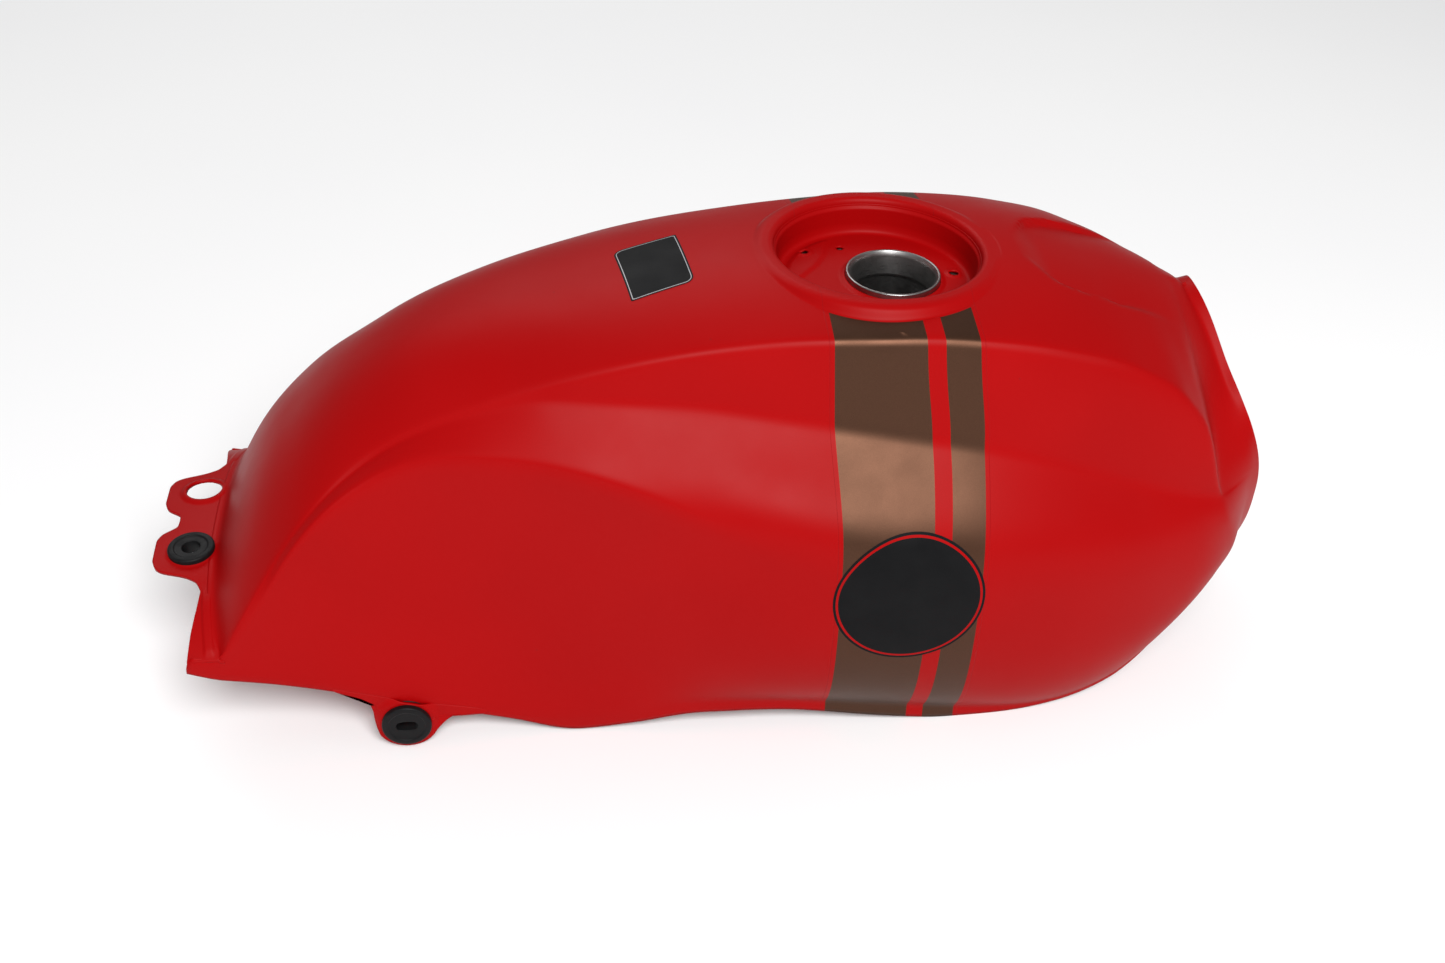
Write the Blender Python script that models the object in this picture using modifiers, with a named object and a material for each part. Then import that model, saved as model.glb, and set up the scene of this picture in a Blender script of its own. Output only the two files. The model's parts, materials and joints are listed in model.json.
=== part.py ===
"""A motorcycle fuel tank: two pressed skins over a tunnel pan, with brackets, filler and level sender.

Shape tables are in millimetres from the centre of the filler recess: +X forward, +Y left, +Z up.
at() moves them into the model's own frame: metres, origin under the middle of the tank, on the ground.
"""
import math

import bmesh
import bpy
import numpy as np
from mathutils import Matrix, Vector

# ---- driving dimensions (millimetres) ----
MM = 0.001
FILLER_X = 91.1  # filler centre ahead of the origin
FILLER_Z = 230.0  # filler plane above the ground
FILLER_LEAN = math.radians(2.56)  # the filler plane leans forward
SHEET = 1.2  # pressed steel
GAP = 0.35  # clearance between pieces that touch on the real tank
CENTRE_GAP = 1.0  # between the two skins along the crest

RECESS_R = 52.0
RECESS_SKIRT_R = 64.0
RECESS_DEPTH = 19.0
NECK_AHEAD = 9.5  # the neck is ahead of the recess centre
NECK_R = 24.3
NECK_BORE_R = 22.0
NECK_TOP = -15.7
NECK_BOTTOM = -46.0
SCREW_CIRCLE_R = 42.5
SCREW_ANGLES = (5.0, 140.0, 248.0)  # degrees round the recess, from straight ahead
DRAIN_AT = (-12.3, 33.2)

PLATE_CENTRE_Z = -141.7
PLATE_EDGE_DROP = 20.8
PLATE_HALF_WIDTH = 95.0
PLATE_SHEET = 2.0
REAR_HOLE_AT = (-359.9, 26.4)
REAR_HOLE_R = 9.6

SIDE_HOLE_AT = (-254.7, -213.6)
SIDE_HOLE_R = 10.0
SIDE_TAB_Y = 91.4  # middle of the tab's sheet, outside the seam flange
SIDE_TAB_SHEET = 2.0
SIDE_NOTCH_R = 13.6  # clears the grommet through the seam flange

GROMMET_PLAY = 0.6  # play of the groove round the sheet

SADDLE_AT = (88.0, -122.0)  # middle of the front mount's saddle, on the tunnel wall
SADDLE_LENGTH = 34.0
SADDLE_HEIGHT = 26.0
SADDLE_REACH = 14.0
SADDLE_SHEET = 2.2

OUTLET_AT = (-150.0, -64.0)
OUTLET_HOLE_R = 10.0

SENDER_AT = (-60.0, 68.5)
SENDER_R = 20.5
SENDER_HOLE_R = 14.0
SENDER_SCREW_R = 17.4
PIVOT_Z = -150.0
PIVOT_R = 1.5
ARM_LENGTH = 75.0
ARM_WIRE_R = 1.1
ARM_REST = math.radians(-40.0)  # the arm hangs this far under level in an empty tank
FLOAT_R = 9.5
FLOAT_WIDTH = 26.0

DRAIN_TUBE_R = 3.0
DRAIN_TUBE_WALL = 0.8
DRAIN_OUT_Y = 16.0

# ---- lines along the right-hand half of the tank: (x, half width, z) ----
CREST = (
    (-346.4, 0, -141.0), (-341, 0, -131), (-334, 0, -118), (-322, 0, -98.5), (-300, 0, -75),
    (-250, 0, -36), (-200, 0, -15), (-140, 0, -4.5), (-60, 0, 1.6), (0, 0, 1.2), (40, 0, -1),
    (80, 0, -4.5), (120, 0, -14), (158, 0, -29),
)
CREASE = (
    (-341, 92, -161.2), (-335, 91, -151), (-322, 87.5, -131), (-300, 79, -100), (-250, 61.5, -59),
    (-200, 65.5, -37.5), (-140, 70, -20), (-60, 73, -9.7), (0, 78, -9), (40, 80, -12), (80, 82, -19.5),
    (120, 84, -34), (145, 86, -54), (158, 87, -77), (164, 87, -103),
)
LEDGE = (
    (-341.5, 92.3, -162.5), (-335, 91.4, -153), (-322, 88, -133), (-300, 79.6, -102), (-250, 62.5, -62),
    (-200, 66.8, -41), (-170, 70.5, -35.5), (-140, 74, -37), (-100, 76.5, -40.5), (-60, 81, -47.5),
    (0, 88, -58), (40, 92, -65.5), (80, 94, -77.5), (120, 94, -92), (145, 92, -101), (166, 89, -107),
)
WAIST = (
    (-343, 93, -165), (-335, 92, -156), (-322, 89.5, -138), (-300, 85, -104), (-250, 74, -67),
    (-200, 84, -57), (-140, 99, -67), (-100, 109, -84), (-60, 118, -103), (-20, 124, -117),
    (20, 125.5, -124), (60, 123.5, -129), (100, 117.5, -135), (140, 106.5, -141), (165, 96, -144),
    (180, 84, -145),
)
SEAM = (
    (-345, 93.5, -169.5), (-320, 91.2, -177), (-290, 90.2, -187), (-250, 89.9, -201), (-167, 92, -219.5),
    (-100, 99, -208.5), (-60, 101, -210.5), (0, 103.5, -217.5), (40, 104, -223), (80, 102.5, -225.5),
    (105, 98, -223), (130, 90.3, -215), (152, 80, -199), (167, 70, -180),
)
FLANGE_EDGE = (
    (-345, 93.5, -173.5), (-300, 91.5, -187), (-250, 90, -204), (-200, 91, -219), (-167, 92, -228.6),
    (-140, 95, -225), (-100, 99, -217.3), (-60, 101, -217.8), (0, 103.5, -226.8), (28, 103.8, -230),
    (60, 103, -229.8), (80, 102.5, -228.6), (105, 98, -225.6), (130, 90, -217.8), (152, 79, -201.8),
    (167, 69, -182.8),
)
RIM_FOLD = (
    (163, 0, -31.5), (164, 8, -34), (167, 18, -43), (170, 28, -51), (175, 43, -64), (181, 60, -79),
    (186, 69, -95), (188.5, 70.5, -114), (189, 70, -134), (187, 68, -152), (182, 64, -169),
    (175.5, 58, -184),
)
RIM_EDGE = (
    (168, 0, -29.5), (168.8, 7, -32), (171.5, 16, -40), (174.5, 25, -47.5), (177.5, 36, -56),
    (182.5, 52, -69.5), (188.5, 62, -85), (194.5, 64, -104), (197, 62.5, -123), (196, 61, -143),
    (190.5, 57, -165), (181, 52, -185),
)
# ---- the tunnel between the pockets: (x, half width, height of its roof) ----
TUNNEL = ((-336, 30, -150), (-250, 31, -130), (-150, 32, -110), (0, 33, -98), (90, 37, -93), (150, 44, -88))
# ---- the floor of the two pockets: (x, 0, height) ----
PAN_FLOOR = (
    (-345, 0, -161), (-300, 0, -176), (-250, 0, -193), (-190, 0, -206), (-170, 0, -208.5),
    (-128, 0, -208.5), (-100, 0, -206.2), (-92, 0, -205.5), (-24, 0, -205.5), (0, 0, -212),
    (40, 0, -217.5), (80, 0, -221.5), (105, 0, -218), (130, 0, -210), (152, 0, -194), (167, 0, -175),
)


def at(x, y, z):
    return Vector(((x + FILLER_X) * MM, y * MM, (z + FILLER_Z) * MM))


def ease(start, end, value):
    share = min(max((value - start) / (end - start), 0.0), 1.0)
    return share * share * (3 - 2 * share)


def slopes(x, values):
    """Slope at each point of a curve through the values, weighted to the nearer neighbour."""
    step = np.diff(x)
    slope = np.diff(values) / step
    inner = (slope[:-1] * step[1:] + slope[1:] * step[:-1]) / (step[:-1] + step[1:])
    inner[slope[:-1] * slope[1:] <= 0] = 0  # level where the curve turns or runs level
    return np.concatenate([slope[:1], inner, slope[-1:]])


def through(points, keys=None):
    """A function that reads a smooth curve through the points, by x or by the given keys."""
    points = np.array(points, float)
    keys = points[:, 0] if keys is None else np.asarray(keys, float)
    slope = np.stack([slopes(keys, points[:, axis]) for axis in range(3)], axis=1)

    def read(value):
        value = min(max(value, keys[0]), keys[-1])
        i = min(int(np.searchsorted(keys, value, side="right")) - 1, len(keys) - 2)
        step = keys[i + 1] - keys[i]
        t = (value - keys[i]) / step
        start = (1 + 2 * t) * (1 - t) ** 2 * points[i] + t * (1 - t) ** 2 * step * slope[i]
        end = t * t * (3 - 2 * t) * points[i + 1] + t * t * (t - 1) * step * slope[i + 1]
        return start + end

    return read


def along(points):
    """A function that reads a line of the tank at a share of its length, from the rear to the front."""
    read = through(points)
    first, last = points[0][0], points[-1][0]
    return lambda share: read(first + (last - first) * share)


def around(points):
    """A function that reads a rim at a share of its length, 0 at the top centre and 1 at its foot."""
    steps = np.linalg.norm(np.diff(np.array(points, float), axis=0), axis=1)
    lengths = np.concatenate([[0], np.cumsum(steps)])
    return through(points, lengths / lengths[-1])


crest, crease, ledge = along(CREST), along(CREASE), along(LEDGE)
waist, seam, flange_edge = along(WAIST), along(SEAM), through(FLANGE_EDGE)
tunnel = through(TUNNEL)
pocket_floor = through(PAN_FLOOR)
rim_fold, rim_edge = around(RIM_FOLD), around(RIM_EDGE)


def bezier(start, a, b, end, count):
    t = np.linspace(0, 1, count + 1)[:, None]
    return (1 - t) ** 3 * start + 3 * t * (1 - t) ** 2 * a + 3 * t * t * (1 - t) * b + t**3 * end


def deck_row(share, count):
    """From the crest out to the upper crease."""
    top, edge = crest(share), crease(share)
    x = edge[0]
    power = 2.4 + 0.8 * ease(-310, -338, x) + 0.8 * ease(-180, -60, x)
    power += 0.6 * ease(60, 100, x) - 1.3 * ease(115, 160, x)
    v = np.linspace(0, 1, count + 1)
    row = [top[0] + (edge[0] - top[0]) * v**2, edge[1] * v, top[2] + (edge[2] - top[2]) * v**power]
    return np.stack(row, axis=1)


def flank_rows(share, over, under):
    """From the lower crease out to the waist and in to the seam: flat at the knee, round ahead of it."""
    top, middle, low = ledge(share), waist(share), seam(share)
    roundness = ease(-150, -40, middle[0])
    reach = np.linalg.norm(middle - top)
    straight = (middle - top) / reach
    shelf = np.array([0, math.cos(math.radians(52)), -math.sin(math.radians(52))])
    down = np.array([0, 0, -1.0])
    a = top + reach * 0.4 * (roundness * shelf + (1 - roundness) * straight)
    b = middle - reach * (roundness * 0.4 * down + (1 - roundness) * 0.33 * straight)
    upper = bezier(top, a, b, middle, over)
    drop = np.linalg.norm(low - middle)
    chord = (low - middle) / drop
    hollow = np.array([0, -0.03, 0])
    tuck = np.array([0, math.cos(math.radians(50)), math.sin(math.radians(50))])
    c = middle + drop * (roundness * 0.42 * down + (1 - roundness) * (0.33 * chord + hollow))
    d = low + drop * (roundness * 0.30 * tuck + (1 - roundness) * (hollow - 0.33 * chord))
    return upper, bezier(middle, c, d, low, under)


def skin_row(share):
    """One row of the outer skin, from the crest to the edge of the seam flange."""
    deck = deck_row(share, 7)
    low = ledge(share)
    upper, lower = flank_rows(share, 4, 5)
    foot = seam(share)
    edge = flange_edge(foot[0])
    edge[0] = foot[0]
    edge[1] = foot[1] - 0.3
    return np.concatenate([deck, [low], upper[1:], lower[1:], [edge]])


def shares(rear, middle, front):
    """Shares along the tank, closer together at the two ends, where it turns."""
    return np.concatenate([
        np.linspace(0, 0.14, rear, endpoint=False),
        np.linspace(0.14, 0.82, middle, endpoint=False),
        np.linspace(0.82, 1, front),
    ])


def front_rows(last, before):
    """The front face: rows that roll from the last section to the rim's fold, then the rim itself."""
    # the rim is shared out over the section's own length, so that the rows run straight
    steps = np.linalg.norm(np.diff(last, axis=0), axis=1)
    place = np.concatenate([[0], np.cumsum(steps)]) / steps.sum()
    fold = np.array([rim_fold(p) for p in place])
    edge = np.array([rim_edge(p) for p in place])
    ahead = last - before
    ahead /= np.linalg.norm(ahead, axis=1)[:, None]
    gap = np.linalg.norm(fold - last, axis=1)[:, None]
    a = last + ahead * gap * 0.4
    b = fold + (a - fold) * 0.45
    rows = []
    for t in (0.35, 0.7, 1.0):
        start = (1 - t) ** 3 * last + 3 * t * (1 - t) ** 2 * a
        rows.append(start + 3 * t * t * (1 - t) * b + t**3 * fold)
    rows.append(edge)
    return rows


def skin_rows():
    rows = [skin_row(s) for s in shares(6, 14, 6)]
    return rows + front_rows(rows[-1], rows[-2])


def grid_mesh(name, rows, flip=False):
    """A sheet of quads through rows of points in millimetres."""
    mesh = bmesh.new()
    grid = [[mesh.verts.new(at(*point)) for point in row] for row in rows]
    for row, ahead in zip(grid, grid[1:]):
        for j in range(len(row) - 1):
            corners = (row[j], row[j + 1], ahead[j + 1], ahead[j])
            mesh.faces.new(corners[::-1] if flip else corners)
    data = bpy.data.meshes.new(name)
    mesh.to_mesh(data)
    mesh.free()
    return data


def put(collection, name, data, colour=None, roughness=0.5, metallic=0.0):
    obj = bpy.data.objects.new(name, data)
    collection.objects.link(obj)
    if colour:
        obj.data.materials.append(material(colour, roughness, metallic))
    return obj


def material(colour, roughness, metallic):
    name = "finish_%02x%02x%02x_%02d" % (*(round(255 * c) for c in colour), round(100 * roughness))
    found = bpy.data.materials.get(name)
    if found:
        return found
    made = bpy.data.materials.new(name)
    made.use_nodes = True
    shader = made.node_tree.nodes["Principled BSDF"]
    shader.inputs["Base Color"].default_value = (*colour, 1)
    shader.inputs["Roughness"].default_value = roughness
    shader.inputs["Metallic"].default_value = metallic
    return made


RED = ((0.58, 0.01, 0.015), 0.42, 0.0)
BARE_STEEL = ((0.55, 0.55, 0.54), 0.28, 1.0)
ZINC = ((0.62, 0.6, 0.52), 0.4, 1.0)
RUBBER = ((0.02, 0.02, 0.021), 0.6, 0.0)
PLASTIC = ((0.05, 0.05, 0.05), 0.5, 0.0)
NITRILE = ((0.03, 0.03, 0.03), 0.7, 0.0)


def solidify(obj, thickness, offset=-1.0):
    modifier = obj.modifiers.new("Sheet", "SOLIDIFY")
    modifier.thickness = thickness * MM
    modifier.offset = offset
    modifier.use_even_offset = True
    modifier.thickness_clamp = 0.0
    return modifier


def cut(obj, cutter, operation="DIFFERENCE"):
    modifier = obj.modifiers.new("Cut " + cutter.name, "BOOLEAN")
    modifier.operation = operation
    modifier.object = cutter
    modifier.solver = "EXACT"
    return modifier


def smooth(obj, angle=40):
    obj.data.shade_smooth()
    obj.data.set_sharp_from_angle(angle=math.radians(angle))


def turned(collection, name, profile, finish, steps=40):
    """A turned piece from (radius, height) points that run down its outer side, closed on themselves."""
    data = bpy.data.meshes.new(name)
    points = [(radius * MM, 0, height * MM) for radius, height in profile]
    edges = [(i, (i + 1) % len(points)) for i in range(len(points))]
    data.from_pydata(points, edges, [])
    return turn(put(collection, name, data, *finish), steps)


def turn(obj, steps):
    screw = obj.modifiers.new("Turn", "SCREW")
    screw.axis = "Z"
    screw.steps = steps
    screw.render_steps = steps
    screw.use_merge_vertices = True
    screw.merge_threshold = 0.00001
    screw.use_smooth_shade = True
    return obj


def cylinder(collection, name, radius, length, segments=40):
    mesh = bmesh.new()
    size = {"radius1": radius * MM, "radius2": radius * MM, "depth": length * MM}
    bmesh.ops.create_cone(mesh, cap_ends=True, segments=segments, **size)
    data = bpy.data.meshes.new(name)
    mesh.to_mesh(data)
    mesh.free()
    return put(collection, name, data)


def hide(cutter):
    cutter.hide_render = True
    cutter.display_type = "WIRE"
    return cutter


def lean():
    return Matrix.Rotation(FILLER_LEAN, 4, "Y")


def filler_place(x=0.0, y=0.0, depth=0.0):
    """A place in the leaning filler frame."""
    return Matrix.Translation(at(0, 0, 0)) @ lean() @ Matrix.Translation(Vector((x, y, -depth)) * MM)


def outer_skins(parts, cutters):
    hole = hide(cylinder(cutters, "cut_filler_hole", RECESS_SKIRT_R + GAP, 60, 48))
    hole.matrix_world = filler_place()
    rows = skin_rows()
    for side, name in ((-1, "outer_skin_right"), (1, "outer_skin_left")):
        sided = []
        for row in rows:
            row = row.copy()
            row[0, 1] = CENTRE_GAP / 2
            row[:, 1] *= side
            sided.append(row)
        skin = put(parts, name, grid_mesh(name, sided, flip=side > 0), *RED)
        solidify(skin, SHEET)
        cut(skin, hole)
        cut(skin, notch_cutter(cutters, side, "skin"))
        smooth(skin)


def notch_cutter(cutters, side, name):
    """Clears the side grommet's inner flange out of the seam flange."""
    notch = hide(cylinder(cutters, "cut_%s_notch_%d" % (name, side), SIDE_NOTCH_R, 16, 30))
    notch.rotation_euler = (math.radians(90), 0, 0)
    notch.location = at(SIDE_HOLE_AT[0], side * (SIDE_TAB_Y - 2), SIDE_HOLE_AT[1])
    return notch


def pan_row(share):
    """One half section of the pan: tunnel roof, tunnel wall, floor of the side pocket, seam flange."""
    foot = seam(share)
    edge = flange_edge(foot[0])
    x = foot[0] + 6 * (1 - share)
    _, half, roof = tunnel(x)
    floor = pan_floor(x)
    inner = foot[1] - SHEET - GAP - 0.6 - 1.6 * ease(-295, -325, x)
    low = roof + (floor - roof) * 0.5
    corner = min(10.0, (roof - floor) * 0.35)
    points = [
        (0, roof), (half * 0.5, roof), (half - corner, roof - 0.5), (half - 3, roof - corner * 0.4),
        (half, roof - corner), (half + 2, low), (half + 4, floor + corner),
        (half + 7, floor + corner * 0.3), (half + 4 + corner, floor),
        ((half + 4 + corner + inner) / 2, floor), (inner - 8, floor), (inner - 2, floor - 1.5),
        (inner, floor - 4.5), (inner, edge[2] + 0.4),
    ]
    return np.array([(x, y, z) for y, z in points])


def pan_front(last):
    """Rows that take the tunnel out to the head-stock rim, just inside the skin's."""
    steps = np.linalg.norm(np.diff(last, axis=0), axis=1)
    place = np.concatenate([[0], np.cumsum(steps)]) / steps.sum()
    fold = inside([rim_fold(p) for p in place], 3.0, 3.4)
    edge = inside([rim_edge(p) for p in place], 2.6, 2.2)
    return [last + (fold - last) * 0.5, fold, edge]


def inside(rim, back, inward):
    """The rim moved back and towards the tunnel, fading to no drop at its foot."""
    moved = np.array(rim)
    moved[:, 0] -= back
    moved[:, 1] = np.maximum(moved[:, 1] - inward * np.minimum(moved[:, 1] / 20, 1), 0)
    moved[:, 2] -= inward * np.linspace(1, 0, len(moved))
    return moved


def tunnel_pan(parts, cutters):
    rows = [pan_row(s) for s in np.linspace(0.012, 0.955, 20)]
    rows += pan_front(rows[-1])
    whole = [np.concatenate([(row * (1, -1, 1))[:0:-1], row]) for row in rows]
    pan = put(parts, "tunnel_pan", grid_mesh("tunnel_pan", whole, flip=True), *RED)
    solidify(pan, SHEET)
    holes = [("sender", *SENDER_AT, SENDER_HOLE_R + GAP, 28), ("outlet", *OUTLET_AT, OUTLET_HOLE_R, 24)]
    holes += [("screw_%d" % (i + 1), x, y, 2.3, 12) for i, (x, y) in enumerate(sender_screw_places())]
    for name, x, y, radius, segments in holes:
        hole = hide(cylinder(cutters, "cut_pan_" + name, radius, 20, segments))
        hole.location = at(x, y, pan_floor(x))
        cut(pan, hole)
    drain = hide(cylinder(cutters, "cut_pan_drain", DRAIN_TUBE_R + GAP, 20, 16))
    drain.location = at(DRAIN_AT[0], DRAIN_OUT_Y, tunnel(DRAIN_AT[0])[2])
    cut(pan, drain)
    for side in (-1, 1):
        cut(pan, notch_cutter(cutters, side, "pan"))
    smooth(pan)


def pan_floor(x):
    """Height of the pocket's floor, inside the tank."""
    return pocket_floor(x)[2]


def plate_height(y):
    return PLATE_CENTRE_Z - PLATE_EDGE_DROP * (abs(y) / PLATE_HALF_WIDTH) ** 3.2


# half width, x of the plate's rear edge: the notch, the tab, its root, the corner
PLATE_REAR = (
    (0, -369.5), (5.5, -369.8), (8, -373), (11, -377), (16, -379.2), (33, -379.2), (38.5, -377),
    (41.5, -373), (42.8, -368), (45, -361.5), (49, -355.5), (56, -352.3), (66, -353.4), (80, -355.6),
    (94.5, -357.2),
)


def plate_rear(y):
    widths = [point[0] for point in PLATE_REAR]
    edges = [point[1] for point in PLATE_REAR]
    return float(np.interp(abs(y), widths, edges))


def skin_end(y):
    """Where the rear edge of the skins lands on the plate."""
    return -346.4 + 5.4 * (abs(y) / 92) ** 2


def plate_rows():
    """Rows across the plate: it steps down by one sheet where it passes under the skins."""
    half = sorted({w for w, _ in PLATE_REAR} | {19.5, 23, 26.4, 29.8, 61, 73, 84, 88})
    ys = [-w for w in half[::-1]] + half[1:]
    rows = []
    for y in ys:
        rear, end = plate_rear(y), skin_end(y)
        under = 1 - ease(78, 84, abs(y))
        front = end - 1.9 + under * (17 - 0.15 * abs(y))
        brink = end - 1.0 - 1.5 * (1 - under)
        landing = brink + (front - brink) * (0.5 - 0.4 * under)
        top = plate_height(y)
        step = (SHEET + 1.1) * under
        upper = [(rear, y, top), ((rear + brink) / 2, y, top), (brink, y, top)]
        rows.append(upper + [(landing, y, top - step), (front, y, top - step)])
    return rows


def rear_bracket(parts, cutters):
    rows = plate_rows()
    plate = put(parts, "rear_mount_bracket", grid_mesh("rear_mount_bracket", rows), *RED)
    solidify(plate, PLATE_SHEET)
    for side, name in ((-1, "right"), (1, "left")):
        hole = hide(cylinder(cutters, "cut_rear_hole_" + name, REAR_HOLE_R, 20, 32))
        hole.location = at(REAR_HOLE_AT[0], side * REAR_HOLE_AT[1], PLATE_CENTRE_Z)
        cut(plate, hole)
    smooth(plate)


def grommet_profile(hole_r, sheet, flange_r, bore_r, flange=3.0):
    """A grommet about the middle of its sheet: two flanges with a groove between them."""
    half = sheet / 2 + GROMMET_PLAY
    neck = hole_r - GROMMET_PLAY
    top = half + flange
    return [
        (bore_r + 0.6, top), (flange_r - 1.2, top), (flange_r, top - 1.2), (flange_r, half), (neck, half),
        (neck, -half), (flange_r, -half), (flange_r, -top + 1.2), (flange_r - 1.2, -top),
        (bore_r + 0.6, -top), (bore_r, -top + 0.6), (bore_r, top - 0.6),
    ]


def grommets(parts, cutters):
    profile = grommet_profile(REAR_HOLE_R, PLATE_SHEET, 12.0, 5.2)
    rear = turned(parts, "rear_grommet_right", profile, RUBBER, 28)
    inner, outer = REAR_HOLE_AT[1] - 11, REAR_HOLE_AT[1] + 11
    drop = plate_height(inner) - plate_height(outer)
    middle = (plate_height(inner) + plate_height(outer)) / 2
    rear.location = at(REAR_HOLE_AT[0], -REAR_HOLE_AT[1], middle - PLATE_SHEET / 2)
    rear.rotation_euler = (math.atan(drop / (outer - inner)), 0, 0)
    for side, name in ((-1, "side_grommet_right"), (1, "side_grommet_left")):
        profile = grommet_profile(SIDE_HOLE_R, SIDE_TAB_SHEET, 12.8, 3.0)
        piece = turned(parts, name, profile, RUBBER, 28)
        slot = slot_cutter(cutters, "cut_slot_" + name)
        slot.parent = piece
        piece.location = at(SIDE_HOLE_AT[0], side * SIDE_TAB_Y, SIDE_HOLE_AT[1])
        piece.rotation_euler = (math.radians(90), 0, 0)
        cut(piece, slot)


def slot_cutter(cutters, name):
    """A slot 11 mm long and 6 mm wide through the grommet, along the tank."""
    curve = bpy.data.curves.new(name, "CURVE")
    curve.dimensions = "2D"
    curve.fill_mode = "BOTH"
    curve.extrude = 8 * MM
    spline = curve.splines.new("POLY")
    points = []
    for middle, start in ((2.5, -90), (-2.5, 90)):
        for i in range(9):
            angle = math.radians(start + 180 * i / 8)
            points.append((middle + 3.0 * math.cos(angle), 3.0 * math.sin(angle)))
    spline.points.add(len(points) - 1)
    for target, (x, y) in zip(spline.points, points):
        target.co = (x * MM, y * MM, 0, 1)
    spline.use_cyclic_u = True
    return hide(mesh_from_curve(cutters, name, curve))


def mesh_from_curve(collection, name, curve):
    guide = bpy.data.objects.new(name + "_guide", curve)
    collection.objects.link(guide)
    graph = bpy.context.evaluated_depsgraph_get()
    data = bpy.data.meshes.new_from_object(guide.evaluated_get(graph))
    data.name = name
    mesh = bmesh.new()
    mesh.from_mesh(data)
    bmesh.ops.remove_doubles(mesh, verts=mesh.verts, dist=0.00001)
    bmesh.ops.recalc_face_normals(mesh, faces=mesh.faces)
    mesh.to_mesh(data)
    mesh.free()
    bpy.data.objects.remove(guide)
    return put(collection, name, data)


def side_tabs(parts, cutters):
    """Tabs welded on the seam flange, each with a round eye for a grommet."""
    x0, z0 = SIDE_HOLE_AT
    foot = FILLER_Z + z0
    turns = np.radians(np.linspace(205, 335, 12))
    arc = [(x0 + foot * math.cos(a), z0 + foot * math.sin(a)) for a in turns]
    shoulder = [(-226, -209.6), (-229, -210.3), (-233, -213.4)]
    outline = [(-285, -191.8), (-280, -194.8), (-274.6, -197.5), (-271.6, -202)] + arc + shoulder[::-1]
    for side, name in ((-1, "right"), (1, "left")):
        curve = bpy.data.curves.new("side_tab_" + name, "CURVE")
        curve.dimensions = "2D"
        curve.fill_mode = "BOTH"
        curve.extrude = SIDE_TAB_SHEET / 2 * MM
        spline = curve.splines.new("POLY")
        spline.points.add(len(outline) - 1)
        for target, (x, z) in zip(spline.points, outline):
            target.co = ((x - x0) * MM, (z - z0) * MM, 0, 1)
        spline.use_cyclic_u = True
        tab = mesh_from_curve(parts, "side_tab_" + name, curve)
        tab.data.materials.append(material(*RED))
        place = Matrix.Translation(at(x0, side * SIDE_TAB_Y, z0))
        tab.matrix_world = place @ Matrix.Rotation(math.radians(90), 4, "X")
        hole = hide(cylinder(cutters, "cut_side_hole_" + name, SIDE_HOLE_R, 12, 32))
        hole.matrix_world = tab.matrix_world
        cut(tab, hole)


def recess_cup(parts, cutters):
    """The filler recess: a skirt over the deck's hole, a flat ring, a wall with a bead and a floor."""
    profile = [
        (0, -RECESS_DEPTH), (46.5, -RECESS_DEPTH), (49.6, -17), (50.6, -13.5), (50.8, -5.2),
        (RECESS_R, -4), (RECESS_R, -1.6), (53.4, 0), (59.2, 0), (62.6, -1.4),
        (RECESS_SKIRT_R, -4.5), (RECESS_SKIRT_R, -13),
    ]
    cup = turned_solid(parts, "filler_recess_cup", profile, RED, 44)
    solidify(cup, SHEET)
    cup.matrix_world = filler_place()
    bores = [("neck", NECK_AHEAD, 0, NECK_R + GAP, 32), ("drain", *DRAIN_AT, 2.0, 16)]
    for i, (x, y) in enumerate(screw_places()):
        bores.append(("screw_%d" % (i + 1), x, y, 2.6, 16))
    for name, x, y, radius, segments in bores:
        hole = hide(cylinder(cutters, "cut_recess_" + name, radius, 12, segments))
        hole.matrix_world = filler_place(x, y, RECESS_DEPTH)
        cut(cup, hole)


def screw_places():
    turns = [math.radians(angle) for angle in SCREW_ANGLES]
    return [(SCREW_CIRCLE_R * math.cos(turn), SCREW_CIRCLE_R * math.sin(turn)) for turn in turns]


def filler_neck(parts):
    profile = [
        (NECK_BORE_R + 0.7, NECK_TOP), (NECK_R - 0.7, NECK_TOP), (NECK_R, NECK_TOP - 0.7),
        (NECK_R, NECK_BOTTOM), (NECK_BORE_R, NECK_BOTTOM), (NECK_BORE_R, NECK_TOP - 1.6),
    ]
    neck = turned(parts, "filler_neck", profile, BARE_STEEL, 48)
    neck.matrix_world = filler_place(NECK_AHEAD, 0)


def screw_bosses(parts):
    """Weld nuts under the recess floor for the cap's screws."""
    top = -RECESS_DEPTH - SHEET - GAP
    profile = [(2.6, top), (5.6, top), (5.6, top - 7.5), (5.0, top - 8), (2.6, top - 8)]
    for i, (x, y) in enumerate(screw_places()):
        boss = turned(parts, "cap_screw_boss_%d" % (i + 1), profile, ZINC, 24)
        boss.matrix_world = filler_place(x, y)


def front_saddles(parts):
    """Open saddles on the tunnel walls that slide over the frame's front rubbers."""
    x, z = SADDLE_AT
    half = SADDLE_HEIGHT / 2
    bend = [(-half * math.cos(a), half * math.sin(a)) for a in np.radians(np.linspace(-90, 90, 9))]
    length = SADDLE_LENGTH - half
    outline = [(length, -half)] + bend + [(length, half)]
    for side, name in ((-1, "front_saddle_right"), (1, "front_saddle_left")):
        wall = tunnel(x)[1] - SHEET - 1.2
        rows = []
        for depth in (0, SADDLE_REACH):
            y = side * (wall - depth)
            rows.append([(x + along_x, y, z + up) for along_x, up in outline])
        saddle = put(parts, name, grid_mesh(name, rows, flip=side > 0), *RED)
        solidify(saddle, SADDLE_SHEET)
        smooth(saddle)


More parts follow.
